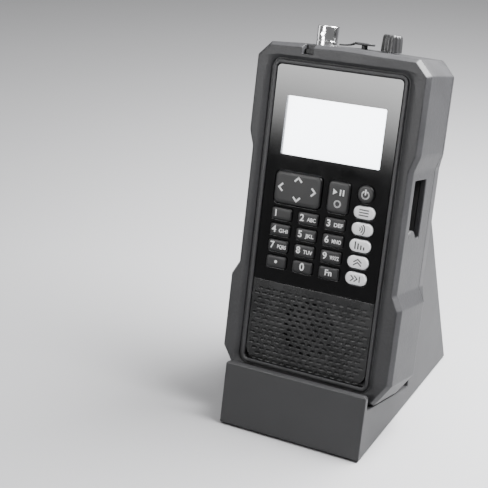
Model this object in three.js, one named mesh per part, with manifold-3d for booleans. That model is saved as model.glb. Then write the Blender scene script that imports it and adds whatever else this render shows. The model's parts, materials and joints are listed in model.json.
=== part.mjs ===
// Handheld radio scanner seated in its desk stand.
//
// Millimetres, +Z up.  The scanner is drawn upright in its own group, whose axes are
// x = right, y = depth (0 at the front rim, growing to the back), z = up from its bottom face.
// That group leans back in the stand.  The whole part stands on z = 0, centred on x = y = 0.
import * as THREE from 'three';
import { mergeVertices } from 'three/addons/utils/BufferGeometryUtils.js';
import Module from 'manifold-3d';

const wasm = await Module();
wasm.setup();

// ---------------------------------------------------------------- driving dimensions

const LEAN = THREE.MathUtils.degToRad(16);
const GAP = 0.3;
const WALL = 2.2;

// Case: half widths and heights of the outline's corners, right side, bottom to top.
const CASE_TOP = 133.6;
const CASE_DEPTH = 38;
const CASE_SIDE_DEPTH = 24.8;
const CASE_RIM_DEPTH = 2.3;
const CASE_RIM_INSET = 1.3;
const CASE_BACK_INSET = 8.4;
const CASE_SPLIT = 24.8;
const FRONT_WALL = 3.8;
const CASE_CORNERS = [
  { x: 30.8, z: 0, r: 1.2 },
  { x: 37.1, z: 9.3, r: 1.2 },
  { x: 37.1, z: 39.1, r: 1.5 },
  { x: 34.1, z: 44.6, r: 2 },
  { x: 34.1, z: 91.5, r: 7 },
  { x: 36.1, z: 97.5, r: 7 },
  { x: 36.1, z: 127.2, r: 1.2 },
  { x: 30.6, z: 132.8, r: 1.2 },
];
const ENVELOPE_CORNERS = [
  { x: 30.8, z: 0, r: 1.2 },
  { x: 37.1, z: 9.3, r: 1.2 },
  { x: 37.1, z: 127.2, r: 1.2 },
  { x: 31.6, z: 133.6, r: 1.2 },
];

// Front face: glossy panel above, speaker grille below, both set 1 mm back from the rim.
const FACE_Y = 1;
const FACE_THICK = 1.8;
const FACE_HALF = 26.2;
const PANEL_BOTTOM = 39.9;
const PANEL_TOP = 124.7;
const PANEL_CORNER = 1.7;
const SEAT_CORNER = 1.9;
const GRILLE_BOTTOM = 6.7;
const GRILLE_TOP = PANEL_BOTTOM - GAP;
const FUNNEL_HALF = 31;
const FUNNEL_BOTTOM = 2.2;
const FUNNEL_TOP = 128.3;
const FUNNEL_CORNER = 5;
const FUNNEL_DEPTH = 0.8;
const FUNNEL_INSET = 1.8;
const SEAT_LEDGE = 1.6;

// Display window, centred in the panel.
const WINDOW_WIDTH = 41.8;
const WINDOW_BOTTOM = 90.4;
const WINDOW_TOP = 113.1;

// Keys.  Their fronts stand proud of the panel and they travel into the case.
const KEY_FRONT = 0.2;
const KEY_BACK = 4.2;
const KEY_COLUMNS = [-17.05, -5.6, 5.85];
const KEY_ROWS = [67.1, 60.7, 54.3, 47.9];
const KEY_SIZE = { w: 8.8, h: 4.8, r: 1.1 };
const KEY_NAMES = ['1', '2', '3', '4', '5', '6', '7', '8', '9', 'dot', '0', 'fn'];
const SIDE_KEY_X = 17.2;
const SIDE_KEY_FRONT = 0.5;
const SIDE_KEY_ROWS = [73.5, 67.1, 60.7, 54.3, 47.9];
const SIDE_KEY_SIZE = { w: 8.7, h: 4.8, r: 2.39 };
const SIDE_KEY_NAMES = ['menu_key', 'scan_key', 'attenuator_key', 'priority_key', 'skip_key'];
const DPAD = { x: -11.4, z: 77.6, w: 20, h: 12.6, r: 2 };
const SELECT_KEY = { x: 6, z: 77.5, w: 9.2, h: 12.2, r: 1.6 };
const POWER_KEY = { x: 17, z: 80.6, w: 6.8, h: 6.8, r: 3.39 };

// Loudspeaker and the open slots in front of it.
const SPEAKER_Z = 23.7;
const SPEAKER_RADIUS = 13;
const SLOT = { w: 2.2, h: 1, pitchX: 3.2, pitchZ: 2.05, firstZ: 36.2 };
const SLOT_FIELD_RADIUS = 10.6;

// Right-hand port bay, in the waist.
const BAY = { y0: 5.4, y1: 17, z0: 65.2, z1: 88, floorX: 28.6, mouthX: 31.6, wall: 1 };
const BAY_TONGUE = { y: 9.1, z: 65, r: 3.8 };
const USB = { y0: 9.5, y1: 14.5, z0: 72.5, z1: 80.5, wall: 0.5 };

// Controls on the top end.
const TOP_Y = 15;
const TOP_WALL_UNDER = 130.5;
const TOP_FACE = 133.6;
const ANTENNA_X = -13.2;
const ANTENNA = { radius: 4.3, bore: 3, top: 140.8 };
const VOLUME_X = 13.8;
const KNOB = { base: 4.05, tip: 3.65, height: 6.6, flutes: 16, fluteDepth: 0.28 };
const EARPHONE_X = 2.7;
const KNOB_BORE = 4.8;
const BUSHING = { radius: 2.6, clearance: 0.35 };
const LED = { x0: -16.3, x1: -11.6, z0: 129.4, depth: 3.5, lensFront: 2, lensTop: 131.4 };
const COVER = { z: 135, w: 7.8, h: 5.6, r: 2, thick: 1.2 };

// Three AA cells side by side behind the board.
const CELL_COUNT = 3;
const CELL_RADIUS = 7.2;
const CELL_LENGTH = 50;
const CELL_PITCH = 15.2;
const CELL_Y = 27;
const CELL_Z = 35;

// Battery door in the back.
const DOOR = { half: 27.4, z0: 10, z1: 94, y0: 36.3, y1: 37.7 };

// Belt clip.
const CLIP_PIN = { y: 42.2, z: 121, r: 1 };
const CLIP_HALF = 9;
const CLIP_EAR_INNER = 7;

// Desk stand, as a side profile in the scanner's own y and z.
const STAND_HALF = 30.7;
const STAND_WALL = 3;
const STAND_BEVEL = 0.6;
const LEDGE_Z = -GAP;
const REST_Y = CASE_DEPTH + GAP;
const LIP = { front: -6.2, back: -3.8, top: 5.5 };
const STAND_TIP = { y: REST_Y + 1.5, z: 68.9 };
const STAND_REAR = { y: 80.4, z: 5.4 };
const STAND_FRONT_BOTTOM = -20.8;
const FOOT_HEIGHT = 0.4;
const FOOT_LENGTH = 9;
const FOOT_INSET = 6;

// ---------------------------------------------------------------- materials

const finish = (color, roughness, metalness = 0) => () =>
  new THREE.MeshStandardMaterial({ color, roughness, metalness });

const caseRubber = finish(0x2b2b2d, 0.62);
const standPlastic = finish(0x2d2d2f, 0.5);
const gloss = finish(0x060607, 0.08);
const grillePlastic = finish(0x1d1d1f, 0.5);
const keyBlack = finish(0x141416, 0.45);
const keyGrey = finish(0xbdbdc0, 0.4);
const chrome = finish(0xd8d8da, 0.12, 1);
const steel = finish(0x9a9a9c, 0.35, 1);
const board = finish(0x1f4a30, 0.55);
const matRubber = finish(0x38383a, 0.8);
const softBlack = finish(0x151516, 0.75);
const displayWhite = finish(0xe9edf0, 0.3);
const clearLens = finish(0xf4f6f8, 0.05);
const smokedLens = finish(0x1a1a1c, 0.15);
const cellSkin = finish(0x30343c, 0.35);
const insulatorWhite = finish(0xe6e3da, 0.5);

// ---------------------------------------------------------------- outlines in x and z

// Mirrors right-hand corners into one closed outline, counter-clockwise from the front.
function mirrored(corners, crown) {
  const left = corners.map((c) => ({ ...c, x: -c.x })).reverse();
  return [...corners, ...(crown ? [crown] : []), ...left];
}

// Moves every edge of a counter-clockwise outline inwards by the same distance.
function inset(corners, distance) {
  return corners.map((corner, i) => {
    const before = corners[(i + corners.length - 1) % corners.length];
    const after = corners[(i + 1) % corners.length];
    const a = inwardNormal(before, corner);
    const b = inwardNormal(corner, after);
    const scale = distance / (1 + a.x * b.x + a.z * b.z);
    return { ...corner, x: corner.x + (a.x + b.x) * scale, z: corner.z + (a.z + b.z) * scale };
  });
}

function inwardNormal(from, to) {
  const length = Math.hypot(to.x - from.x, to.z - from.z);
  return { x: -(to.z - from.z) / length, z: (to.x - from.x) / length };
}

// Rounds each corner by its radius r and returns plain points.
function rounded(corners, steps = 4) {
  const points = [];
  corners.forEach((corner, i) => {
    const here = new THREE.Vector2(corner.x, corner.z);
    const before = corners[(i + corners.length - 1) % corners.length];
    const after = corners[(i + 1) % corners.length];
    const back = new THREE.Vector2(before.x, before.z).sub(here);
    const ahead = new THREE.Vector2(after.x, after.z).sub(here);
    const turn = Math.PI - Math.abs(back.angleTo(ahead));
    const reach = Math.min(
      (corner.r ?? 0) * Math.tan(turn / 2),
      0.48 * back.length(),
      0.48 * ahead.length(),
    );
    const start = here.clone().add(back.normalize().multiplyScalar(reach));
    const end = here.clone().add(ahead.normalize().multiplyScalar(reach));
    if (reach < 0.01) {
      points.push(here);
      return;
    }
    const bend = new THREE.QuadraticBezierCurve(start, here, end);
    points.push(...bend.getPoints(steps));
  });
  return points;
}

function rectangle(x0, x1, z0, z1, r = 0) {
  return [
    { x: x0, z: z0, r },
    { x: x1, z: z0, r },
    { x: x1, z: z1, r },
    { x: x0, z: z1, r },
  ];
}

function keyOutline(key, clearance = 0, steps = 4) {
  const w = key.w / 2 + clearance;
  const h = key.h / 2 + clearance;
  return rounded(rectangle(key.x - w, key.x + w, key.z - h, key.z + h, key.r + clearance), steps);
}

// ---------------------------------------------------------------- solids

// Skins a stack of outlines that all have the same number of points, front to back.
function loft(layers) {
  const count = layers[0].outline.length;
  const positions = layers.flatMap(({ y, outline }) => outline.flatMap((p) => [p.x, y, p.y]));
  const index = [];
  const last = (layers.length - 1) * count;
  for (const [a, b, c] of THREE.ShapeUtils.triangulateShape(layers[0].outline, [])) {
    index.push(a, b, c);
  }
  for (const [a, b, c] of THREE.ShapeUtils.triangulateShape(layers.at(-1).outline, [])) {
    index.push(last + a, last + c, last + b);
  }
  for (let layer = 0; layer < layers.length - 1; layer += 1) {
    for (let i = 0; i < count; i += 1) {
      const front = layer * count + i;
      const frontNext = layer * count + ((i + 1) % count);
      const back = front + count;
      const backNext = frontNext + count;
      index.push(front, back, backNext, front, backNext, frontNext);
    }
  }
  const geometry = new THREE.BufferGeometry();
  geometry.setAttribute('position', new THREE.Float32BufferAttribute(positions, 3));
  geometry.setIndex(index);
  return geometry;
}

// A flat plate of one outline, from y0 back to y1, with optional holes.
function plate(outline, y0, y1, holes = []) {
  const shape = new THREE.Shape(outline);
  shape.holes = holes.map((hole) => new THREE.Path(hole));
  const geometry = new THREE.ExtrudeGeometry(shape, { depth: y1 - y0, bevelEnabled: false });
  return geometry.rotateX(Math.PI / 2).translate(0, y1, 0);
}

function box(x0, x1, y0, y1, z0, z1) {
  const geometry = new THREE.BoxGeometry(x1 - x0, y1 - y0, z1 - z0);
  return geometry.translate((x0 + x1) / 2, (y0 + y1) / 2, (z0 + z1) / 2);
}

function cylinderAlongX(radius, x0, x1, y, z, sides = 20) {
  const geometry = new THREE.CylinderGeometry(radius, radius, x1 - x0, sides);
  return geometry.rotateZ(Math.PI / 2).translate((x0 + x1) / 2, y, z);
}

function cylinderAlongY(radius, x, y0, y1, z, sides = 24) {
  const geometry = new THREE.CylinderGeometry(radius, radius, y1 - y0, sides);
  return geometry.translate(x, (y0 + y1) / 2, z);
}

function cylinderAlongZ(radius, x, y, z0, z1, sides = 28) {
  const geometry = new THREE.CylinderGeometry(radius, radius, z1 - z0, sides);
  return geometry.rotateX(Math.PI / 2).translate(x, y, (z0 + z1) / 2);
}

// A turned piece on a vertical axis, from [radius, z] pairs that start and end on the axis.
function turned(profile, x, y, sides = 28) {
  const points = profile.map(([r, z]) => new THREE.Vector2(r, z));
  return new THREE.LatheGeometry(points, sides).rotateX(Math.PI / 2).translate(x, y, 0);
}

// A piece drawn as a side profile in y and z, extruded across x.
function sideProfile(points, x0, x1, bevel = 0) {
  const shape = new THREE.Shape(points.map(([y, z]) => new THREE.Vector2(y, z)));
  const geometry = new THREE.ExtrudeGeometry(shape, {
    depth: x1 - x0 - 2 * bevel,
    bevelEnabled: bevel > 0,
    bevelThickness: bevel,
    bevelSize: bevel,
    bevelOffset: -bevel,
    bevelSegments: 1,
  });
  geometry.translate(0, 0, bevel);
  const yzToWorld = new THREE.Matrix4().makeBasis(
    new THREE.Vector3(0, 1, 0),
    new THREE.Vector3(0, 0, 1),
    new THREE.Vector3(1, 0, 0),
  );
  return geometry.applyMatrix4(yzToWorld).translate(x0, 0, 0);
}

// ---------------------------------------------------------------- joining and cutting

function solid(geometry) {
  const bare = geometry.clone();
  bare.deleteAttribute('normal');
  bare.deleteAttribute('uv');
  const merged = mergeVertices(bare, 1e-4);
  return new wasm.Manifold(new wasm.Mesh({
    numProp: 3,
    vertProperties: new Float32Array(merged.attributes.position.array),
    triVerts: new Uint32Array(merged.index.array),
  }));
}

function surface(manifold) {
  const mesh = manifold.getMesh();
  const geometry = new THREE.BufferGeometry();
  geometry.setAttribute('position', new THREE.BufferAttribute(mesh.vertProperties, 3));
  geometry.setIndex(new THREE.BufferAttribute(mesh.triVerts, 1));
  return geometry;
}

function cut(body, ...tools) {
  return surface(tools.reduce((left, tool) => left.subtract(solid(tool)), solid(body)));
}

function join(body, ...others) {
  return surface(others.reduce((left, other) => left.add(solid(other)), solid(body)));
}

function common(a, b) {
  return surface(solid(a).intersect(solid(b)));
}

// ---------------------------------------------------------------- scene

const scanner = new THREE.Group();
const stand = new THREE.Group();

function add(group, name, geometry, material) {
  geometry.computeVertexNormals();
  const mesh = new THREE.Mesh(geometry, material());
  mesh.name = name;
  group.add(mesh);
}

// ---------------------------------------------------------------- case halves

const crown = (top) => ({ x: 0, z: top, r: 60 });

// The full case block: the waisted outline, with its rim bevelled and its back chamfered.
function caseBlock(shrink) {
  const corners = inset(mirrored(CASE_CORNERS, crown(CASE_TOP)), shrink);
  const outline = rounded(corners);
  const rim = rounded(inset(corners, CASE_RIM_INSET));
  const body = loft([
    { y: 0, outline: rim },
    { y: CASE_RIM_DEPTH, outline },
    { y: CASE_DEPTH, outline },
  ]);
  const around = inset(mirrored(ENVELOPE_CORNERS), shrink);
  const envelope = loft([
    { y: -1, outline: rounded(inset(around, -0.2)) },
    { y: CASE_SIDE_DEPTH - 0.2, outline: rounded(inset(around, -0.2)) },
    { y: CASE_DEPTH - shrink, outline: rounded(inset(around, CASE_BACK_INSET - 0.45 * shrink)) },
  ]);
  return common(body, envelope);
}

const outerBlock = caseBlock(0);
const innerBlock = caseBlock(WALL);

// The bay's mouth.  A half-round tongue stands up from the lower front corner.
function bayOpening() {
  const mouth = box(BAY.floorX, 40, BAY.y0, BAY.y1, BAY.z0, BAY.z1);
  const tongue = cylinderAlongX(BAY_TONGUE.r, BAY.floorX - 1, 41, BAY_TONGUE.y, BAY_TONGUE.z);
  return cut(mouth, tongue);
}

function buildFrontCase() {
  const frontHalf = box(-50, 50, -5, CASE_SPLIT, -10, 150);
  const hollow = common(innerBlock, box(-50, 50, FRONT_WALL, CASE_DEPTH, -10, 150));
  const funnelMouth = rectangle(-FUNNEL_HALF, FUNNEL_HALF, FUNNEL_BOTTOM, FUNNEL_TOP, FUNNEL_CORNER);
  const seatHalf = FACE_HALF + GAP;
  const seat = rectangle(-seatHalf, seatHalf, GRILLE_BOTTOM - GAP, PANEL_TOP + GAP, SEAT_CORNER);
  const funnel = loft([
    { y: -0.5, outline: rounded(inset(funnelMouth, -1)) },
    { y: 0, outline: rounded(funnelMouth) },
    { y: FUNNEL_DEPTH, outline: rounded(inset(seat, -FUNNEL_INSET)) },
  ]);
  const pocket = plate(rounded(seat), FUNNEL_DEPTH / 2, FACE_Y + FACE_THICK + GAP);
  const opening = plate(rounded(inset(seat, SEAT_LEDGE)), 2, FRONT_WALL + 1);
  const notch = box(LED.x0, LED.x1, -1, LED.depth, LED.z0, 140);
  return cut(
    common(outerBlock, frontHalf),
    hollow,
    funnel,
    pocket,
    opening,
    notch,
    bayOpening(),
    cylinderAlongZ(ANTENNA.radius + GAP, ANTENNA_X, TOP_Y, 120, 150),
    cylinderAlongZ(3, VOLUME_X, TOP_Y, 120, 150),
    cylinderAlongZ(2.7, EARPHONE_X, TOP_Y, 120, 150),
  );
}

function buildRearCase() {
  const rearHalf = box(-50, 50, CASE_SPLIT + GAP, 60, -10, 150);
  const shell = cut(outerBlock, innerBlock);
  const doorFrame = box(-DOOR.half - 0.2, DOOR.half + 0.2, 34.7, 36.5, 9.5, 97);
  const recess = box(-DOOR.half - GAP, DOOR.half + GAP, DOOR.y0 - GAP, 39, -1, DOOR.z1 + GAP);
  const mouth = box(-24, 24, 30, 37, 31.5, 89.5);
  const screwHoles = SCREWS.flatMap(({ x, z }) => [
    cylinderAlongY(1.5, x, 25, 45, z),
    cylinderAlongY(2.9, x, 36.4, 45, z),
  ]);
  const clipHoles = CLIP_SCREWS.map(({ x, z }) => cylinderAlongY(1.4, x, 25, 45, z));
  const body = join(common(shell, rearHalf), common(doorFrame, common(outerBlock, rearHalf)));
  return cut(body, recess, mouth, ...screwHoles, ...clipHoles);
}

const SCREWS = [
  { name: 'case_screw_left', x: -21, z: 117 },
  { name: 'case_screw_right', x: 21, z: 117 },
];
const CLIP_SCREWS = [
  { name: 'clip_screw_left', x: -4.5, z: 108 },
  { name: 'clip_screw_right', x: 4.5, z: 108 },
];

function screw(x, z, headFront, headHeight, shaftRadius, length) {
  const head = cylinderAlongY(2.5, x, headFront, headFront + headHeight, z);
  const shaft = cylinderAlongY(shaftRadius, x, headFront - length, headFront + 0.1, z, 16);
  const crossBottom = headFront + headHeight - 0.6;
  const crossTop = headFront + headHeight + 1;
  const slot = box(x - 1.9, x + 1.9, crossBottom, crossTop, z - 0.3, z + 0.3);
  const crossSlot = box(x - 0.3, x + 0.3, crossBottom, crossTop, z - 1.9, z + 1.9);
  return cut(join(head, shaft), slot, crossSlot);
}

add(scanner, 'front_case', buildFrontCase(), caseRubber);
add(scanner, 'rear_case', buildRearCase(), caseRubber);
for (const { name, x, z } of SCREWS) {
  add(scanner, name, screw(x, z, 36.7, 1.1, 1.15, 8), steel);
}

// ---------------------------------------------------------------- keys

const numberKeys = KEY_NAMES.map((label, i) => ({
  ...KEY_SIZE,
  name: `key_${label}`,
  x: KEY_COLUMNS[i % 3],
  z: KEY_ROWS[Math.floor(i / 3)],
}));
const sideKeys = SIDE_KEY_NAMES.map((name, i) => ({
  ...SIDE_KEY_SIZE,
  name,
  x: SIDE_KEY_X,
  z: SIDE_KEY_ROWS[i],
}));
const dpad = { ...DPAD, name: 'dpad' };
const selectKey = { ...SELECT_KEY, name: 'select_key' };
const powerKey = { ...POWER_KEY, name: 'power_key' };
const pushKeys = [...numberKeys, selectKey, powerKey, ...sideKeys];

// A key cap with a bevelled front; it slides straight back through its hole in the panel.
function keyCap(key, front = KEY_FRONT, back = KEY_BACK) {
  const crest = rounded(rectangle(
    key.x - key.w / 2 + 0.35,
    key.x + key.w / 2 - 0.35,
    key.z - key.h / 2 + 0.35,
    key.z + key.h / 2 - 0.35,
    Math.max(key.r - 0.3, 0.5),
  ));
  const waist = keyOutline(key);
  return loft([
    { y: front, outline: crest },
    { y: front + 0.4, outline: waist },
    { y: back, outline: waist },
  ]);
}

for (const key of numberKeys) add(scanner, key.name, keyCap(key), keyBlack);
add(scanner, selectKey.name, keyCap(selectKey), keyBlack);
add(scanner, powerKey.name, keyCap(powerKey), keyBlack);
for (const key of sideKeys) add(scanner, key.name, keyCap(key, SIDE_KEY_FRONT), keyGrey);

// The direction pad tilts on a small gimbal, one axis each.
const DPAD_BACK = 3.4;
const GIMBAL = { y0: 4.3, y1: 5, half: 2.2 };

function buildGimbal() {
  const { y0, y1, half } = GIMBAL;
  return box(dpad.x - half, dpad.x + half, y0, y1, dpad.z - half, dpad.z + half);
}
add(scanner, 'dpad', keyCap(dpad, KEY_FRONT, DPAD_BACK), keyBlack);
add(scanner, 'dpad_gimbal', buildGimbal(), matRubber);

// ---------------------------------------------------------------- front face

function buildFacePanel() {
  const outline = rounded([
    { x: -FACE_HALF, z: PANEL_BOTTOM, r: 0.4 },
    { x: FACE_HALF, z: PANEL_BOTTOM, r: 0.4 },
    { x: FACE_HALF, z: PANEL_TOP, r: PANEL_CORNER },
    { x: -FACE_HALF, z: PANEL_TOP, r: PANEL_CORNER },
  ]);
  const half = WINDOW_WIDTH / 2;
  const window = rounded(rectangle(-half, half, WINDOW_BOTTOM, WINDOW_TOP, 0.6), 2);
  const keyHoles = [...pushKeys, dpad].map((key) => keyOutline(key, key === dpad ? 0.5 : GAP));
  return plate(outline, FACE_Y, FACE_Y + FACE_THICK, [window, ...keyHoles]);
}

function buildSpeakerGrille() {
  const outline = rounded([
    { x: -FACE_HALF, z: GRILLE_BOTTOM, r: 5 },
    { x: FACE_HALF, z: GRILLE_BOTTOM, r: 5 },
    { x: FACE_HALF, z: GRILLE_TOP, r: 0.4 },
    { x: -FACE_HALF, z: GRILLE_TOP, r: 0.4 },
  ]);
  const slots = [];
  for (let row = 0; row < 16; row += 1) {
    const z = SLOT.firstZ - row * SLOT.pitchZ;
    const shift = row % 2 ? SLOT.pitchX / 2 : 0;
    for (let column = -4; column <= 4; column += 1) {
      const x = column * SLOT.pitchX + shift;
      if (Math.hypot(x, z - SPEAKER_Z) < SLOT_FIELD_RADIUS) {
        slots.push(box(x - SLOT.w / 2, x + SLOT.w / 2, 0, 4, z - SLOT.h / 2, z + SLOT.h / 2));
      }
    }
  }
  return cut(plate(outline, FACE_Y, FACE_Y + FACE_THICK), ...slots);
}

const paneHalf = WINDOW_WIDTH / 2 - GAP;
const pane = rectangle(-paneHalf, paneHalf, WINDOW_BOTTOM + GAP, WINDOW_TOP - GAP, 0.4);
const keyMat = rectangle(-24.6, 24.6, 42.5, 86.5, 2);
const displayModule = rectangle(-23.4, 23.4, 87.6, 116, 0.5);

add(scanner, 'face_panel', buildFacePanel(), gloss);
add(scanner, 'display_window', plate(rounded(pane, 2), FACE_Y + 0.1, FACE_Y + 1.1), clearLens);
add(scanner, 'lcd_module', plate(rounded(displayModule, 2), 3.2, 7.2), displayWhite);
add(scanner, 'speaker_grille', buildSpeakerGrille(), grillePlastic);
add(scanner, 'keypad_mat', plate(rounded(keyMat), 5.4, 6.4), matRubber);

// ---------------------------------------------------------------- electronics

const boardOutline = rounded(rectangle(-26.8, 26.8, 41, 122, 2));
const shield = rectangle(-22, 22, 88, 117, 1);
add(scanner, 'main_board', plate(boardOutline, 7.6, 9.2), board);
add(scanner, 'shield_can', plate(rounded(shield, 2), 9.5, 12.6), steel);

// Loudspeaker: a steel basket with its paper cone open to the front and a magnet behind.
function buildSpeaker() {
  const profile = [
    [0, 5.6], [2.6, 5.2], [4, 6.1], [10.6, 4.2], [SPEAKER_RADIUS, 3.4], [SPEAKER_RADIUS, 4.6],
    [7.4, 7.6], [7.4, 11], [0, 11],
  ];
  const points = profile.map(([r, y]) => new THREE.Vector2(r, y));
  return new THREE.LatheGeometry(points, 32).translate(0, 0, SPEAKER_Z);
}
add(scanner, 'speaker', buildSpeaker(), steel);

// ---------------------------------------------------------------- port bay

function buildPortBay() {
  const w = BAY.wall;
  const shell = box(BAY.floorX - w, BAY.mouthX, BAY.y0 - w, BAY.y1 + w, BAY.z0 - w, BAY.z1 + w);
  const socketHole = box(26, 32, USB.y0 - GAP, USB.y1 + GAP, USB.z0 - GAP, USB.z1 + GAP);
  return cut(shell, bayOpening(), socketHole);
}

function buildUsbPort() {
  const { y0, y1, z0, z1, wall } = USB;
  const body = box(24.4, 28.5, y0, y1, z0, z1);
  return cut(body, box(25.4, 31, y0 + wall, y1 - wall, z0 + wall, z1 - wall));
}

add(scanner, 'port_bay', buildPortBay(), softBlack);
add(scanner, 'usb_port', buildUsbPort(), steel);

// ---------------------------------------------------------------- battery compartment

function buildBatteryTray() {
  return cut(box(-24.8, 24.8, 18.2, 29, 30.5, 90), box(-23.5, 23.5, 19.4, 30, 31.7, 88.8));
}

// One AA cell, positive end up on even cells and down on odd ones.
function cell(x, flipped) {
  const z0 = CELL_Z;
  const shoulder = CELL_LENGTH - 1.4;
  const profile = [
    [0, 0], [CELL_RADIUS - 0.6, 0], [CELL_RADIUS, 0.6], [CELL_RADIUS, shoulder - 0.6],
    [CELL_RADIUS - 0.6, shoulder], [2.6, shoulder], [2.6, CELL_LENGTH], [0, CELL_LENGTH],
  ];
  const place = (z) => (flipped ? z0 + CELL_LENGTH - z : z0 + z);
  const placed = profile.map(([r, z]) => [r, place(z)]);
  return turned(flipped ? placed.reverse() : placed, x, CELL_Y, 24);
}

function contactStrip(z0, z1, towards) {
  const strip = box(-23, 23, 23, 28.8, z0, z1);
  const bumps = [-1, 0, 1].map((n) => {
    const tip = towards > 0 ? z1 + 1.6 : z0 - 1.6;
    return cylinderAlongZ(2, n * CELL_PITCH, 26, Math.min(tip, z0), Math.max(tip, z1), 12);
  });
  return join(strip, ...bumps);
}

add(scanner, 'battery_tray', buildBatteryTray(), softBlack);
for (let n = 0; n < CELL_COUNT; n += 1) {
  add(scanner, `battery_cell_${n + 1}`, cell((n - 1) * CELL_PITCH, n % 2 === 1), cellSkin);
}
add(scanner, 'contact_strip_lower', contactStrip(32, 32.6, 1), steel);
add(scanner, 'contact_strip_upper', contactStrip(87.9, 88.5, -1), steel);

function buildBatteryDoor() {
  const { half, y0, y1, z0, z1 } = DOOR;
  const slab = plate(rounded(rectangle(-half, half, z0, z1, 1.5)), y0, y1);
  const ribs = [0, 1, 2, 3, 4].map((n) => box(-9, 9, y1 - 0.5, y1 + 1, 16 + n * 2.4, 17.2 + n * 2.4));
  return cut(slab, ...ribs);
}
add(scanner, 'battery_door', buildBatteryDoor(), caseRubber);

// ---------------------------------------------------------------- belt clip

function buildClipMount() {
  const base = box(-CLIP_HALF, CLIP_HALF, CASE_DEPTH + GAP, 40, 103, 125);
  const ears = [-1, 1].map((side) => {
    const inner = side * CLIP_EAR_INNER;
    const outer = side * CLIP_HALF;
    return box(Math.min(inner, outer), Math.max(inner, outer), 39, 43.9, 118.2, 123.6);
  });
  const holes = [
    cylinderAlongX(CLIP_PIN.r + 0.05, -12, 12, CLIP_PIN.y, CLIP_PIN.z),
    ...CLIP_SCREWS.map(({ x, z }) => cylinderAlongY(1.5, x, 30, 45, z)),
  ];
  return cut(join(base, ...ears), ...holes);
}

function buildBeltClip() {
  const arm = sideProfile([
    [46.9, 130.5], [46.6, 124], [46.6, 84], [45.6, 80], [41.6, 74.2], [39.4, 73.4],
    [38.5, 74.6], [38.9, 76], [40.5, 76.2], [44.2, 81.4], [45, 84], [45, 124], [45.4, 130.5],
  ], -CLIP_HALF, CLIP_HALF);
  const web = box(-6.6, 6.6, CLIP_PIN.y, 45.6, 119.4, 122.6);
  const knuckle = cylinderAlongX(1.9, -6.6, 6.6, CLIP_PIN.y, CLIP_PIN.z, 20);
  const bore = cylinderAlongX(CLIP_PIN.r + 0.05, -8, 8, CLIP_PIN.y, CLIP_PIN.z);
  return cut(join(arm, web, knuckle), bore);
}

add(scanner, 'belt_clip_mount', buildClipMount(), softBlack);
add(scanner, 'belt_clip', buildBeltClip(), softBlack);
add(scanner, 'belt_clip_pin', cylinderAlongX(CLIP_PIN.r, -8.9, 8.9, CLIP_PIN.y, CLIP_PIN.z), steel);
for (const { name, x, z } of CLIP_SCREWS) {
  add(scanner, name, screw(x, z, 40.3, 1.1, 1.05, 9), steel);
}

// ---------------------------------------------------------------- top end

function buildAntennaJack() {
  const { radius, bore, top } = ANTENNA;
  const barrel = turned([
    [0, 122], [5.4, 122], [5.4, TOP_WALL_UNDER - 0.1], [radius, TOP_WALL_UNDER - 0.1],
    [radius, top - 0.3], [radius - 0.3, top], [bore, top], [bore, 134.4], [0, 134.4],
  ], ANTENNA_X, TOP_Y, 32);
  const lugs = [-1, 1].map((side) => {
    const y0 = TOP_Y + side * (radius - 0.5);
    const y1 = TOP_Y + side * (radius + 0.75);
    return cylinderAlongY(0.95, ANTENNA_X, Math.min(y0, y1), Math.max(y0, y1), 137.6, 14);
  });
  return join(barrel, ...lugs);
}

function buildInsulator() {
  return turned([
    [0, 134.7], [2.6, 134.7], [2.6, 139], [1, 139], [1, 135.6], [0, 135.6],
  ], ANTENNA_X, TOP_Y, 20);
}

function buildVolumePot() {
  const body = box(VOLUME_X - 5.6, VOLUME_X + 5.6, TOP_Y - 5.3, TOP_Y + 5.3, 122.3, 129);
  const bushingTop = TOP_FACE - BUSHING.clearance;
  const bushing = cylinderAlongZ(BUSHING.radius, VOLUME_X, TOP_Y, 128, bushingTop, 20);
  const shaft = cylinderAlongZ(1.5, VOLUME_X, TOP_Y, 130, TOP_FACE + KNOB_BORE - GAP, 20);
  return join(body, bushing, shaft);
}

function knobOutline(radius) {
  const points = [];
  const perFlute = 4;
  for (let i = 0; i < KNOB.flutes * perFlute; i += 1) {
    const angle = (i / (KNOB.flutes * perFlute)) * Math.PI * 2;
    const dip = i % perFlute === 0 ? KNOB.fluteDepth : 0;
    points.push(new THREE.Vector2(Math.cos(angle) * (radius - dip), Math.sin(angle) * (radius - dip)));
  }
  return points;
}

function buildVolumeKnob() {
  const body = loft([
    { y: 0, outline: knobOutline(KNOB.tip - 0.5) },
    { y: 0.4, outline: knobOutline(KNOB.tip) },
    { y: KNOB.height, outline: knobOutline(KNOB.base) },
  ]).rotateX(-Math.PI / 2).translate(VOLUME_X, TOP_Y, TOP_FACE + KNOB.height);
  return cut(body, cylinderAlongZ(1.8, VOLUME_X, TOP_Y, TOP_FACE - 1, TOP_FACE + KNOB_BORE, 20));
}

function buildEarphoneJack() {
  return turned([
    [0, 118.2], [3.5, 118.2], [3.5, 130], [2.4, 130],
    [2.4, 133.5], [1.75, 133.5], [1.75, 119.5], [0, 119.5],
  ], EARPHONE_X, TOP_Y, 20);
}

// Rubber cover: a stem in the socket, a neck, and a flat tongue of a cap to pull it by.
function buildJackCover() {
  const stem = turned([
    [0, 128], [1.2, 128], [1.2, 133.8], [1.25, COVER.z + 0.3], [0, COVER.z + 0.3],
  ], EARPHONE_X, TOP_Y, 16);
  const tongue = plate(keyOutline({ ...COVER, x: 0, z: 0 }), 0, COVER.thick);
  return join(stem, tongue.rotateX(Math.PI / 2).translate(EARPHONE_X, TOP_Y, COVER.z));
}

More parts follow.
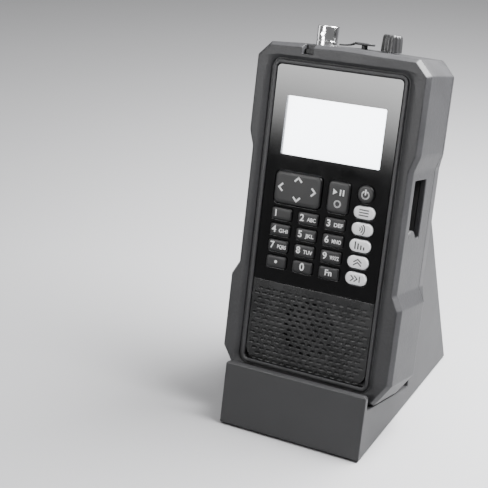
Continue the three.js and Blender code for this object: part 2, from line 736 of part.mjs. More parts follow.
// The strap that keeps the cover on the radio, anchored beside the antenna socket.
function buildCoverStrap() {
  const path = new THREE.QuadraticBezierCurve(
    new THREE.Vector2(-7.6, 134.25),
    new THREE.Vector2(-2.6, 134.3),
    new THREE.Vector2(EARPHONE_X - COVER.w / 2 - GAP, COVER.z + 0.5),
  );
  const upper = path.getPoints(8).map((p) => ({ x: p.x, z: p.y + 0.35 }));
  const lower = path.getPoints(8).map((p) => ({ x: p.x, z: p.y - 0.35 }));
  const ribbon = [...lower, ...upper.reverse()].map((p) => new THREE.Vector2(p.x, p.z));
  return plate(ribbon, TOP_Y - 1.1, TOP_Y + 1.1);
}

function buildLedLens() {
  return box(LED.x0 + GAP, LED.x1 - GAP, LED.lensFront, LED.depth - GAP, LED.z0 + GAP, LED.lensTop);
}

add(scanner, 'antenna_jack', buildAntennaJack(), chrome);
add(scanner, 'antenna_insulator', buildInsulator(), insulatorWhite);
add(scanner, 'volume_pot', buildVolumePot(), steel);
add(scanner, 'volume_knob', buildVolumeKnob(), keyBlack);
add(scanner, 'earphone_jack', buildEarphoneJack(), softBlack);
add(scanner, 'jack_cover', buildJackCover(), matRubber);
add(scanner, 'jack_cover_strap', buildCoverStrap(), matRubber);
add(scanner, 'alert_led_lens', buildLedLens(), smokedLens);

// ---------------------------------------------------------------- desk stand

// Stand profiles are drawn in the scanner's y and z and turned upright with it.
function leaned([y, z]) {
  return [
    y * Math.cos(LEAN) + z * Math.sin(LEAN),
    z * Math.cos(LEAN) - y * Math.sin(LEAN),
  ];
}

const floorLine = leaned([LIP.front, STAND_FRONT_BOTTOM])[1];
const frontFoot = leaned([LIP.front, STAND_FRONT_BOTTOM])[0];
const rearFoot = leaned([STAND_REAR.y, STAND_REAR.z])[0];

function buildDeskStand() {
  const profile = [
    [LIP.front, STAND_FRONT_BOTTOM],
    [LIP.front, LIP.top - 0.6], [LIP.front + 0.6, LIP.top], [LIP.back, LIP.top],
    [LIP.back, LEDGE_Z], [REST_Y, LEDGE_Z], [REST_Y, STAND_TIP.z],
    [STAND_TIP.y, STAND_TIP.z], [STAND_REAR.y, STAND_REAR.z],
  ].map(leaned);
  profile.push([rearFoot + 0.3, floorLine]);
  const body = sideProfile(profile.reverse(), -STAND_HALF, STAND_HALF, STAND_BEVEL);
  const roof = LEDGE_Z - STAND_WALL;
  const back = REST_Y + STAND_WALL;
  const [frontY, frontZ] = leaned([LIP.front + STAND_WALL, roof]);
  const [cornerY, cornerZ] = leaned([back, roof]);
  const [peakY, peakZ] = leaned([back, 61]);
  const hollow = [
    [frontY, frontZ], [cornerY, cornerZ], [peakY, peakZ],
    [rearFoot - STAND_WALL, floorLine + 2.6], [rearFoot - STAND_WALL, floorLine - 5],
    [frontFoot + STAND_WALL + 0.6, floorLine - 5], [frontFoot + STAND_WALL + 0.6, floorLine + 2],
  ];
  const side = STAND_HALF - STAND_WALL;
  return cut(body, sideProfile(hollow.reverse(), -side, side));
}

function buildStandBase() {
  const side = STAND_HALF - STAND_WALL - GAP;
  const front = frontFoot + STAND_WALL + 0.6 + GAP;
  const rear = rearFoot - STAND_WALL - GAP;
  return box(-side, side, front, rear, floorLine, floorLine + 2);
}

// A rubber strip under the base plate, starting at y0.
function buildFoot(y0) {
  return box(-24, 24, y0, y0 + FOOT_LENGTH, floorLine - FOOT_HEIGHT, floorLine - 0.02);
}

add(stand, 'desk_stand', buildDeskStand(), standPlastic);
add(stand, 'stand_base_plate', buildStandBase(), standPlastic);
add(stand, 'stand_foot_front', buildFoot(frontFoot + FOOT_INSET), matRubber);
add(stand, 'stand_foot_rear', buildFoot(rearFoot - FOOT_INSET - FOOT_LENGTH), matRubber);

// ---------------------------------------------------------------- assembly

scanner.rotation.x = -LEAN;

const model = new THREE.Group();
model.add(scanner, stand);
model.updateMatrixWorld(true);

// Stand the part on z = 0 and centre it on the vertical axis.
const extent = new THREE.Box3().setFromObject(model, true);
for (const half of [scanner, stand]) {
  half.position.y -= (extent.min.y + extent.max.y) / 2;
  half.position.z -= extent.min.z;
}

export default model;
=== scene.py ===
"""Handheld radio scanner in its desk stand: the looks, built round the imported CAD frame."""

import json
import math

import bmesh
import bpy
from mathutils import Matrix, Vector
from mathutils.geometry import tessellate_polygon

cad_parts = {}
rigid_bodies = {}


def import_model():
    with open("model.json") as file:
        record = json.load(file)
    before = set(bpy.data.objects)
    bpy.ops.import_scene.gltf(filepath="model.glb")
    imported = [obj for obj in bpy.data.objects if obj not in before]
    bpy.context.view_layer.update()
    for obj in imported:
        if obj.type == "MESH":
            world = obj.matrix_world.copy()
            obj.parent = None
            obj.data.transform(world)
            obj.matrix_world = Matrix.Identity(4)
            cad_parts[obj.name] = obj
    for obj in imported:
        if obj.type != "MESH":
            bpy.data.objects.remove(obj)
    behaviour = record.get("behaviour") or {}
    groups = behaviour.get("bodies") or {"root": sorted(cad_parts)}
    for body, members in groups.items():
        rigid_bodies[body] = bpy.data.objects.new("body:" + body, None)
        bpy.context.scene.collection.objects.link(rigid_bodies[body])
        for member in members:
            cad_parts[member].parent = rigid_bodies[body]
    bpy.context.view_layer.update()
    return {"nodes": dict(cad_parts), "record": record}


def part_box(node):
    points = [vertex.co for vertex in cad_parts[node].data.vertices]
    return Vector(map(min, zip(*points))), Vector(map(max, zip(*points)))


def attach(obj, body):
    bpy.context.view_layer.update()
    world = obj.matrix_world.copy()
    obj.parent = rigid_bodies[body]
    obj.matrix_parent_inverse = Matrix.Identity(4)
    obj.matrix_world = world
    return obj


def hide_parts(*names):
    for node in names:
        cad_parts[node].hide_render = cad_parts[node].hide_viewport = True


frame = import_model()

for leftover in [o for o in bpy.data.objects if o.name in ("Cube", "Camera", "Light")]:
    bpy.data.objects.remove(leftover)

MM = 0.001
LEAN = math.radians(16)

# ------------------------------ the radio's own axes
# x right, y depth into the radio, z up from its bottom face, all in millimetres.

WINDOW = {"x": 20.9, "z0": 90.4, "z1": 113.1, "y0": 1.1, "y1": 2.1}

lean_back = Matrix.Rotation(-LEAN, 4, "X")
low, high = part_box("display_window")
window_centre = Vector((0, (WINDOW["y0"] + WINDOW["y1"]) / 2, (WINDOW["z0"] + WINDOW["z1"]) / 2))
radio_origin = (low + high) / 2 - (lean_back @ window_centre) * MM
to_frame = Matrix.Translation(radio_origin) @ lean_back @ Matrix.Scale(MM, 4)

# ------------------------------ outlines in x and z

CASE_CORNERS = [
    (30.8, 0, 1.2), (37.1, 9.3, 1.2), (37.1, 39.1, 1.5), (34.1, 44.6, 2),
    (34.1, 91.5, 7), (36.1, 97.5, 7), (36.1, 127.2, 1.2), (30.6, 132.8, 1.2),
]
ENVELOPE_CORNERS = [(30.8, 0, 1.2), (37.1, 9.3, 1.2), (37.1, 127.2, 1.2), (31.6, 133.6, 1.2)]
CASE_TOP = 133.6
CASE_DEPTH = 38
SIDE_DEPTH = 24.8
BACK_INSET = 8.4
WALL = 2.2
SPLIT = 24.8
GAP = 0.3


def mirrored(corners, crown=None):
    """Right-hand corners and their mirror images, counter-clockwise from the front."""
    middle = [(0, crown, 60)] if crown else []
    return corners + middle + [(-x, z, r) for x, z, r in reversed(corners)]


def inset(corners, distance):
    """Every edge of a counter-clockwise outline, moved inwards by the same distance."""
    def inward(a, b):
        edge = Vector((b[0] - a[0], b[1] - a[1])).normalized()
        return Vector((-edge.y, edge.x))

    moved = []
    for i, (x, z, r) in enumerate(corners):
        before = corners[i - 1]
        after = corners[(i + 1) % len(corners)]
        a = inward(before, corners[i])
        b = inward(corners[i], after)
        shift = (a + b) * distance / (1 + a.dot(b))
        moved.append((x + shift.x, z + shift.y, r))
    return moved


def rounded(corners, steps=8):
    """Plain points of an outline whose corners are rounded by their radius."""
    points = []
    for i, (x, z, r) in enumerate(corners):
        here = Vector((x, z))
        back = Vector(corners[i - 1][:2]) - here
        ahead = Vector(corners[(i + 1) % len(corners)][:2]) - here
        turn = math.pi - back.angle(ahead)
        reach = min(r * math.tan(turn / 2), 0.48 * back.length, 0.48 * ahead.length)
        if reach < 0.01:
            points.append(here)
            continue
        start = here + back.normalized() * reach
        end = here + ahead.normalized() * reach
        pull = math.cos(turn / 2)
        for step in range(steps + 1):
            t = step / steps
            shares = ((1 - t) ** 2, 2 * t * (1 - t) * pull, t ** 2)
            points.append((start * shares[0] + here * shares[1] + end * shares[2]) / sum(shares))
    return points


def rectangle(x0, x1, z0, z1, r=0.0):
    return [(x0, z0, r), (x1, z0, r), (x1, z1, r), (x0, z1, r)]


def grown(outline, amount):
    return [(x, z, r + amount) for x, z, r in inset(outline, -amount)]


# ------------------------------ meshes

def new_object(name, mesh):
    obj = bpy.data.objects.new(name, mesh)
    bpy.context.scene.collection.objects.link(obj)
    return obj


def finished(name, bm, smooth_angle=35):
    """A mesh object from a bmesh in the radio's millimetres, smooth but for its sharp edges."""
    bmesh.ops.remove_doubles(bm, verts=bm.verts, dist=1e-5)
    bmesh.ops.recalc_face_normals(bm, faces=bm.faces)
    mesh = bpy.data.meshes.new(name)
    bm.to_mesh(mesh)
    bm.free()
    obj = new_object(name, mesh)
    soften(obj, smooth_angle)
    return obj


def soften(obj, smooth_angle=35):
    obj.data.shade_smooth()
    obj.data.set_sharp_from_angle(angle=math.radians(smooth_angle))


def place(obj):
    """Bakes the lean and the change to metres into the mesh."""
    obj.data.transform(to_frame)
    return obj


def skin(bm, a, b):
    """Four-sided faces between two closed loops of equally many vertices."""
    for i in range(len(a)):
        j = (i + 1) % len(a)
        bm.faces.new((a[i], b[i], b[j], a[j]))


def loft(name, layers, smooth_angle=35):
    """Skins outlines of equal length: layers are (y, [(x, z), ...]) from front to back."""
    bm = bmesh.new()
    rings = [[bm.verts.new((p[0], y, p[1])) for p in outline] for y, outline in layers]
    for front, back in zip(rings, rings[1:]):
        skin(bm, front, back)
    bm.faces.new(rings[0])
    bm.faces.new(list(reversed(rings[-1])))
    return finished(name, bm, smooth_angle)


def evaluated_mesh(obj):
    depsgraph = bpy.context.evaluated_depsgraph_get()
    return bpy.data.meshes.new_from_object(obj.evaluated_get(depsgraph))


def between(bm, outer, inner):
    """Fills the flat ring between two closed loops of vertices."""
    loops = [[v.co for v in outer], [v.co for v in inner]]
    flat = [[Vector((c.x, c.z, 0)) for c in loop] for loop in loops]
    verts = list(outer) + list(inner)
    for a, b, c in tessellate_polygon(flat):
        if len({a, b, c}) == 3:
            bm.faces.new((verts[a], verts[b], verts[c]))


def plate(name, outline, y0, y1, holes=(), bevel=0.15, segments=2, smooth_angle=40):
    """A flat plate with rounded edges, cut by holes. Outlines are lists of (x, z)."""
    curve = bpy.data.curves.new(name, "CURVE")
    curve.dimensions = "2D"
    curve.fill_mode = "BOTH"
    for points in [outline, *holes]:
        spline = curve.splines.new("POLY")
        spline.points.add(len(points) - 1)
        for target, point in zip(spline.points, points):
            target.co = (point[0], point[1], 0, 1)
        spline.use_cyclic_u = True
    curve.extrude = (y1 - y0) / 2 - bevel
    curve.bevel_depth = bevel
    curve.bevel_resolution = segments
    curve.offset = -bevel
    source = new_object(name + "_curve", curve)
    mesh = evaluated_mesh(source)
    bpy.data.objects.remove(source)
    bm = bmesh.new()
    bm.from_mesh(mesh)
    bpy.data.meshes.remove(mesh)
    stand_up = Matrix.Translation((0, (y0 + y1) / 2, 0)) @ Matrix.Rotation(math.pi / 2, 4, "X")
    bmesh.ops.transform(bm, matrix=stand_up, verts=bm.verts)
    return finished(name, bm, smooth_angle)


def block(name, x0, x1, y0, y1, z0, z1):
    bm = bmesh.new()
    bmesh.ops.create_cube(bm, size=1)
    for v in bm.verts:
        v.co = (
            x1 if v.co.x > 0 else x0,
            y1 if v.co.y > 0 else y0,
            z1 if v.co.z > 0 else z0,
        )
    return finished(name, bm)


def turned(name, profile, centre, axis="Z", sides=64):
    """A piece of revolution from (radius, height) pairs that start and end on the axis."""
    bm = bmesh.new()
    rings = []
    for radius, height in profile:
        if radius < 1e-6:
            rings.append([bm.verts.new((0, 0, height))])
            continue
        ring = []
        for i in range(sides):
            angle = 2 * math.pi * i / sides
            ring.append(bm.verts.new((math.cos(angle) * radius, math.sin(angle) * radius, height)))
        rings.append(ring)
    for a, b in zip(rings, rings[1:]):
        for i in range(sides):
            j = (i + 1) % sides
            corners = [a[i % len(a)], a[j % len(a)], b[j % len(b)], b[i % len(b)]]
            unique = list(dict.fromkeys(corners))
            if len(unique) > 2:
                bm.faces.new(unique)
    turn = Matrix.Rotation(-math.pi / 2, 4, "X") if axis == "Y" else Matrix.Identity(4)
    bmesh.ops.transform(bm, matrix=Matrix.Translation(centre) @ turn, verts=bm.verts)
    return finished(name, bm)


def peg(radius, start, end, centre, axis="Z"):
    """A plain cylinder to cut a hole with."""
    return turned("peg", [(0, start), (radius, start), (radius, end), (0, end)], centre, axis)


def triangulate(obj):
    bm = bmesh.new()
    bm.from_mesh(obj.data)
    bmesh.ops.dissolve_degenerate(bm, edges=bm.edges, dist=1e-5)
    bmesh.ops.triangulate(bm, faces=bm.faces, ngon_method="EAR_CLIP")
    bmesh.ops.remove_doubles(bm, verts=bm.verts, dist=1e-5)
    bm.to_mesh(obj.data)
    bm.free()


def combine(obj, tool, operation):
    """Applies one exact boolean and throws the tool away."""
    triangulate(obj)
    triangulate(tool)
    modifier = obj.modifiers.new("cut", "BOOLEAN")
    modifier.object = tool
    modifier.operation = operation
    modifier.solver = "EXACT"
    mesh = evaluated_mesh(obj)
    old = obj.data
    obj.modifiers.clear()
    obj.data = mesh
    bpy.data.meshes.remove(old)
    bpy.data.objects.remove(tool)
    soften(obj)
    return obj


def joined(target, others):
    """Adds the others' faces, and their materials, to the target's mesh."""
    for other in others:
        first = len(target.data.materials)
        for material in other.data.materials:
            target.data.materials.append(material)
        bm = bmesh.new()
        bm.from_mesh(target.data)
        known = len(bm.faces)
        bm.from_mesh(other.data)
        bm.faces.ensure_lookup_table()
        for face in bm.faces[known:]:
            face.material_index = first
        bm.to_mesh(target.data)
        bm.free()
        bpy.data.objects.remove(other)
    return target


# ------------------------------ materials

def node_of(tree, kind, **values):
    node = tree.nodes.new(kind)
    for key, value in values.items():
        if hasattr(node, key):
            setattr(node, key, value)
        else:
            node.inputs[key.replace("_", " ")].default_value = value
    return node


def ramp(tree, factor, stops):
    node = tree.nodes.new("ShaderNodeValToRGB")
    elements = node.color_ramp.elements
    for element, (position, colour) in zip(elements, stops):
        element.position = position
        element.color = colour
    for position, colour in stops[2:]:
        element = elements.new(position)
        element.color = colour
    tree.links.new(factor, node.inputs["Fac"])
    return node


def grey(value):
    return (value, value, value, 1.0)


def lighter(colour, factor):
    return tuple(min(1.0, c * factor) for c in colour[:3]) + (1.0,)


def moulded(name, colour, roughness, grain=0.4, bump=0.12, mottle=0.12, wear=0.35, round_edges=0.25,
            metallic=0.0, specular=0.5, cellular=False, spread=0.06):
    """A moulded or machined surface: mottled colour, fine grain, worn and rounded edges.

    grain and round_edges are in millimetres, wear is how much lighter an edge is rubbed and
    spread is how far the roughness strays to either side."""
    material = bpy.data.materials.new(name)
    material.use_nodes = True
    tree = material.node_tree
    shader = tree.nodes["Principled BSDF"]
    shader.inputs["Metallic"].default_value = metallic
    shader.inputs["Specular IOR Level"].default_value = specular
    place_of = node_of(tree, "ShaderNodeTexCoord")

    cloud = node_of(tree, "ShaderNodeTexNoise", Scale=90.0, Detail=5.0, Roughness=0.6)
    tree.links.new(place_of.outputs["Object"], cloud.inputs["Vector"])
    if cellular:
        fine = node_of(tree, "ShaderNodeTexVoronoi", feature="SMOOTH_F1", Scale=1000.0 / grain)
    else:
        fine = node_of(tree, "ShaderNodeTexNoise", Scale=1000.0 / grain, Detail=3.0, Roughness=0.7)
    tree.links.new(place_of.outputs["Object"], fine.inputs["Vector"])
    height = fine.outputs["Distance"] if cellular else fine.outputs["Fac"]

    base = tuple(colour[:3]) + (1.0,)
    body = ramp(tree, cloud.outputs["Fac"], [
        (0.3, lighter(base, 1 - mottle)), (0.7, lighter(base, 1 + mottle)),
    ])
    speck = ramp(tree, height, [(0.25, grey(1 - mottle)), (0.75, grey(1.0))])
    toned = node_of(tree, "ShaderNodeMix", data_type="RGBA", blend_type="MULTIPLY")
    toned.inputs[0].default_value = 1.0
    tree.links.new(body.outputs["Color"], toned.inputs[6])
    tree.links.new(speck.outputs["Color"], toned.inputs[7])

    rounding = node_of(tree, "ShaderNodeBevel", samples=4)
    rounding.inputs["Radius"].default_value = round_edges * MM
    flat = node_of(tree, "ShaderNodeNewGeometry")
    closeness = node_of(tree, "ShaderNodeVectorMath", operation="DOT_PRODUCT")
    tree.links.new(rounding.outputs["Normal"], closeness.inputs[0])
    tree.links.new(flat.outputs["Normal"], closeness.inputs[1])
    edge = ramp(tree, closeness.outputs["Value"], [(0.86, grey(1.0)), (0.995, grey(0.0))])
    patchy = ramp(tree, cloud.outputs["Fac"], [(0.38, grey(0.25)), (0.62, grey(1.0))])
    rubbed = node_of(tree, "ShaderNodeMath", operation="MULTIPLY")
    tree.links.new(edge.outputs["Color"], rubbed.inputs[0])
    tree.links.new(patchy.outputs["Color"], rubbed.inputs[1])
    amount = node_of(tree, "ShaderNodeMath", operation="MULTIPLY")
    amount.inputs[1].default_value = wear
    tree.links.new(rubbed.outputs["Value"], amount.inputs[0])
    worn = node_of(tree, "ShaderNodeMix", data_type="RGBA")
    tree.links.new(amount.outputs["Value"], worn.inputs[0])
    tree.links.new(toned.outputs[2], worn.inputs[6])
    worn.inputs[7].default_value = lighter(tuple(c * 1.6 + 0.05 for c in base[:3]), 1.0)
    tree.links.new(worn.outputs[2], shader.inputs["Base Color"])

    shine = node_of(tree, "ShaderNodeMapRange")
    shine.inputs["From Min"].default_value = 0.3
    shine.inputs["From Max"].default_value = 0.7
    shine.inputs["To Min"].default_value = max(0.02, roughness - spread)
    shine.inputs["To Max"].default_value = min(1.0, roughness + spread)
    tree.links.new(cloud.outputs["Fac"], shine.inputs["Value"])
    tree.links.new(shine.outputs["Result"], shader.inputs["Roughness"])

    relief = node_of(tree, "ShaderNodeBump")
    relief.inputs["Strength"].default_value = bump
    relief.inputs["Distance"].default_value = 0.12 * grain * MM
    tree.links.new(height, relief.inputs["Height"])
    tree.links.new(rounding.outputs["Normal"], relief.inputs["Normal"])
    tree.links.new(relief.outputs["Normal"], shader.inputs["Normal"])
    return material


def brushed(name, colour, roughness):
    """Metal with fine scratches that run one way."""
    material = moulded(name, colour, roughness, grain=0.3, bump=0.05, mottle=0.06, wear=0.2,
                       round_edges=0.15, metallic=1.0)
    tree = material.node_tree
    scratch = node_of(tree, "ShaderNodeTexNoise", Scale=900.0, Detail=4.0)
    stretch = node_of(tree, "ShaderNodeMapping")
    stretch.inputs["Scale"].default_value = (1, 1, 30)
    place_of = node_of(tree, "ShaderNodeTexCoord")
    tree.links.new(place_of.outputs["Object"], stretch.inputs["Vector"])
    tree.links.new(stretch.outputs["Vector"], scratch.inputs["Vector"])
    shader = tree.nodes["Principled BSDF"]
    spread = node_of(tree, "ShaderNodeMapRange")
    spread.inputs["To Min"].default_value = max(0.03, roughness - 0.08)
    spread.inputs["To Max"].default_value = roughness + 0.12
    tree.links.new(scratch.outputs["Fac"], spread.inputs["Value"])
    tree.links.new(spread.outputs["Result"], shader.inputs["Roughness"])
    return material


def lit_display(name):
    """An evenly backlit white display with a faint grid of dots."""
    material = moulded(name, (0.86, 0.89, 0.92), 0.3, grain=0.3, bump=0.02, mottle=0.02, wear=0.0)
    tree = material.node_tree
    shader = tree.nodes["Principled BSDF"]
    shader.inputs["Emission Strength"].default_value = 7
    place_of = node_of(tree, "ShaderNodeTexCoord")
    dots = node_of(tree, "ShaderNodeTexVoronoi", feature="F1", distance="CHEBYCHEV", Scale=2600.0,
                   Randomness=0.0)
    tree.links.new(place_of.outputs["Object"], dots.inputs["Vector"])
    glow = ramp(tree, dots.outputs["Distance"], [
        (0.40, (0.93, 0.96, 1.0, 1.0)), (0.55, (0.86, 0.89, 0.93, 1.0)),
    ])
    tree.links.new(glow.outputs["Color"], shader.inputs["Emission Color"])
    return material


def clear_lens(name):
    """A thin clear window: see-through, with a smudged skin that mirrors more when seen edge-on."""
    material = bpy.data.materials.new(name)
    material.use_nodes = True
    tree = material.node_tree
    tree.nodes.remove(tree.nodes["Principled BSDF"])
    output = tree.nodes["Material Output"]
    through = node_of(tree, "ShaderNodeBsdfTransparent")
    through.inputs["Color"].default_value = (0.96, 0.97, 0.98, 1)
    skin = node_of(tree, "ShaderNodeBsdfGlossy")
    skin.inputs["Roughness"].default_value = 0.05
    facing = node_of(tree, "ShaderNodeLayerWeight", Blend=0.5)
    grazing = node_of(tree, "ShaderNodeMath", operation="POWER")
    grazing.inputs[1].default_value = 5.0
    tree.links.new(facing.outputs["Facing"], grazing.inputs[0])
    mirror = node_of(tree, "ShaderNodeMapRange")
    mirror.inputs["To Min"].default_value = 0.03
    mirror.inputs["To Max"].default_value = 0.8
    tree.links.new(grazing.outputs["Value"], mirror.inputs["Value"])
    place_of = node_of(tree, "ShaderNodeTexCoord")
    smudge = node_of(tree, "ShaderNodeTexNoise", Scale=140.0, Detail=4.0)
    tree.links.new(place_of.outputs["Object"], smudge.inputs["Vector"])
    haze = node_of(tree, "ShaderNodeMapRange")
    haze.inputs["To Min"].default_value = 0.02
    haze.inputs["To Max"].default_value = 0.14
    tree.links.new(smudge.outputs["Fac"], haze.inputs["Value"])
    tree.links.new(haze.outputs["Result"], skin.inputs["Roughness"])
    blend = node_of(tree, "ShaderNodeMixShader")
    tree.links.new(mirror.outputs["Result"], blend.inputs["Fac"])
    tree.links.new(through.outputs["BSDF"], blend.inputs[1])
    tree.links.new(skin.outputs["BSDF"], blend.inputs[2])
    tree.links.new(blend.outputs["Shader"], output.inputs["Surface"])
    return material


SLOTS = {
    "stand_plastic": moulded("stand_plastic", (0.028, 0.028, 0.0295), 0.44, grain=0.5, bump=0.2,
                             mottle=0.05, wear=0.35, round_edges=0.3, specular=0.3, spread=0.025),
    "foot_rubber": moulded("foot_rubber", (0.02, 0.02, 0.02), 0.85, grain=0.6, bump=0.3, wear=0.1),
    "case_rubber": moulded("case_rubber", (0.028, 0.028, 0.030), 0.47, grain=0.9, bump=0.45,
                           mottle=0.14, wear=0.35, round_edges=0.6, cellular=True, specular=0.3,
                           spread=0.04),
    "steel": brushed("steel", (0.55, 0.55, 0.56), 0.32),
    "gloss_panel": moulded("gloss_panel", (0.003, 0.003, 0.0035), 0.07, grain=1.2, bump=0.01,
                           mottle=0.3, wear=0.1, round_edges=0.06, spread=0.02),
    "clear_lens": clear_lens("clear_lens"),
    "lcd_white": lit_display("lcd_white"),
    "grille_plastic": moulded("grille_plastic", (0.008, 0.008, 0.0085), 0.27, grain=0.35, bump=0.2,
                              mottle=0.15, wear=0.6, round_edges=0.12, specular=0.4),
    "mat_rubber": moulded("mat_rubber", (0.04, 0.04, 0.042), 0.8, grain=0.5, bump=0.2, wear=0.1),
    "circuit_board": moulded("circuit_board", (0.015, 0.07, 0.03), 0.35, grain=1.5, bump=0.3,
                             mottle=0.3, wear=0.2, cellular=True),
    "bay_plastic": moulded("bay_plastic", (0.012, 0.012, 0.012), 0.55, grain=0.4, bump=0.15,
                           wear=0.2, round_edges=0.15),
    "cell_skin": moulded("cell_skin", (0.03, 0.034, 0.045), 0.3, grain=0.8, bump=0.05, wear=0.3),
    "clip_plastic": moulded("clip_plastic", (0.014, 0.014, 0.014), 0.42, grain=0.5, bump=0.2,
                            mottle=0.15, wear=0.4, round_edges=0.3),
    "chrome_socket": moulded("chrome_socket", (0.80, 0.80, 0.81), 0.14, grain=0.6, bump=0.04,
                             mottle=0.05, wear=0.2, round_edges=0.15, metallic=1.0, spread=0.05),
    "insulator": moulded("insulator", (0.75, 0.73, 0.68), 0.5, grain=0.4, bump=0.1, wear=0.1),
    "knob_plastic": moulded("knob_plastic", (0.02, 0.02, 0.021), 0.36, grain=0.3, bump=0.15,
                            mottle=0.12, wear=0.5, round_edges=0.2),
    "cover_rubber": moulded("cover_rubber", (0.028, 0.028, 0.03), 0.6, grain=0.4, bump=0.2,
                            wear=0.25, round_edges=0.2),
    "smoked_lens": moulded("smoked_lens", (0.004, 0.004, 0.0045), 0.3, grain=1.0, bump=0.02,
                           wear=0.1, round_edges=0.2, specular=0.12),
    "key_black": moulded("key_black", (0.005, 0.005, 0.0055), 0.4, grain=0.35, bump=0.14,
                         mottle=0.15, wear=0.45, round_edges=0.14, specular=0.3),
    "key_grey": moulded("key_grey", (0.85, 0.85, 0.86), 0.42, grain=0.35, bump=0.1,
                        mottle=0.04, wear=0.2, round_edges=0.15),
}
LEGEND = moulded("legend_ink", (0.82, 0.82, 0.82), 0.5, grain=0.2, bump=0.1, mottle=0.03, wear=0.0,
                 round_edges=0.02)
DARK_LEGEND = moulded("dark_legend_ink", (0.02, 0.02, 0.022), 0.5, grain=0.2, bump=0.1, mottle=0.03,
                      wear=0.0, round_edges=0.02)


def dress(obj, slot, body, *replaced):
    """Gives a new piece its material and its body, and hides the CAD nodes that it stands for."""
    if obj.data.materials:
        obj.data.materials[0] = SLOTS[slot]
    else:
        obj.data.materials.append(SLOTS[slot])
    even = obj.modifiers.new("even_shading", "WEIGHTED_NORMAL")
    even.keep_sharp = True
    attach(obj, body)
    if replaced:
        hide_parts(*replaced)


for part in frame["record"]["subparts"]:
    node = frame["nodes"][part["node"]]
    node.data.materials.clear()
    node.data.materials.append(SLOTS[part["material_slot"]])

# Small CAD pieces that show get a real rounded edge on top of their own shape.
for name, width in {
    "battery_door": 0.3, "belt_clip": 0.45, "belt_clip_mount": 0.3, "port_bay": 0.15,
    "usb_port": 0.08, "alert_led_lens": 0.2, "stand_foot_front": 0.2, "stand_foot_rear": 0.2,
}.items():
    bevel = frame["nodes"][name].modifiers.new("edges", "BEVEL")
    bevel.width = width * MM
    bevel.segments = 2
    bevel.limit_method = "ANGLE"
    bevel.angle_limit = math.radians(40)

# ------------------------------ case

def case_block(name, shrink):
    """The whole case as one solid, its back drawn in all round, smaller by shrink."""
    corners = inset(mirrored(CASE_CORNERS, CASE_TOP), shrink)
    outline = rounded(corners)
    body = loft(name, [(-2, outline), (CASE_DEPTH + 2, outline)])
    around = inset(mirrored(ENVELOPE_CORNERS), shrink)
    back = inset(around, BACK_INSET - 0.45 * shrink)
    side = inset(around, -0.2)
    envelope = loft(name + "_envelope", [
        (-3, rounded(side)), (SIDE_DEPTH - 0.2, rounded(side)), (CASE_DEPTH - shrink, rounded(back)),
    ])
    return combine(body, envelope, "INTERSECT")


HOLLOW_FRONT = 3.8
# The rolled front edge: distance inside the outline, depth.
RIM = [(0.0, 2.6), (0.03, 2.4), (0.12, 2.2), (1.22, 0.22), (1.36, 0.07), (1.6, 0.0)]
FUNNEL_MOUTH = rectangle(-31, 31, 2.2, 128.3, 5)
SEAT = rectangle(-26.5, 26.5, 6.4, 125, 1.9)
# The step down to the panel: distance outside the seat, depth.
STEP = [
    (2.9, 0.55), (2.5, 0.72), (2.3, 1.3), (1.6, 1.35), (1.45, 0.62), (1.3, 0.5), (0.35, 0.5),
    (0.12, 0.56), (0.0, 0.75), (0.0, 3.1), (-1.6, 3.1), (-1.6, HOLLOW_FRONT),
]
BAY = {"y0": 5.4, "y1": 17, "z0": 65.2, "z1": 88, "corner": 0.7, "floor": 28}
BAY_LIP = (33.7, 34.5)
TONGUE = {"y": 9.1, "z": 65, "r": 3.8}
NOTCH = {"x0": -16.3, "x1": -11.6, "z": 129.4, "depth": 3.5}
TOP_Y = 15
SOCKET_X = -13.2
COVER_X = 2.7
KNOB_X = 13.8
TOP_HOLES = ((SOCKET_X, 4.6), (KNOB_X, 3), (COVER_X, 2.7))
HOLLOW_BACK = 34
DOOR = {"x": 27.7, "z": 94.3, "y": 36}
TRAY_MOUTH = {"x": 24, "z0": 31.5, "z1": 89.5, "y": 30}
CASE_SCREW = {"x": 21, "z": 117, "shank": 1.5, "head": 2.9, "head_y": 36.4}
CLIP_SCREW = {"x": 4.5, "z": 108, "shank": 1.4}
# Clear of the case on either side.
BEYOND = 50


def build_front_case():
    corners = mirrored(CASE_CORNERS, CASE_TOP)
    bm = bmesh.new()

    def ring(outline, y):
        return [bm.verts.new((p[0], y, p[1])) for p in outline]

    outer = [ring(rounded(corners), SPLIT)]
    outer += [ring(rounded(inset(corners, d)), y) for d, y in RIM]
    for a, b in zip(outer, outer[1:]):
        skin(bm, a, b)
    step = [ring(rounded(FUNNEL_MOUTH, 10), 0)]
    step += [ring(rounded(grown(SEAT, d), 10), y) for d, y in STEP]
    for a, b in zip(step, step[1:]):
        skin(bm, a, b)
    between(bm, outer[-1], step[0])
    inner = [ring(rounded(inset(corners, WALL)), y) for y in (HOLLOW_FRONT, SPLIT)]
    between(bm, inner[0], step[-1])
    skin(bm, inner[0], inner[1])
    skin(bm, inner[1], outer[0])
    shell = finished("bumper_front", bm)

    for tool in bay_tools():
        combine(shell, tool, "DIFFERENCE")
    notch = block("notch", NOTCH["x0"], NOTCH["x1"], -1, NOTCH["depth"], NOTCH["z"], 140)
    combine(shell, notch, "DIFFERENCE")
    for x, radius in TOP_HOLES:
        combine(shell, peg(radius, 120, 150, (x, TOP_Y, 0)), "DIFFERENCE")
    return shell


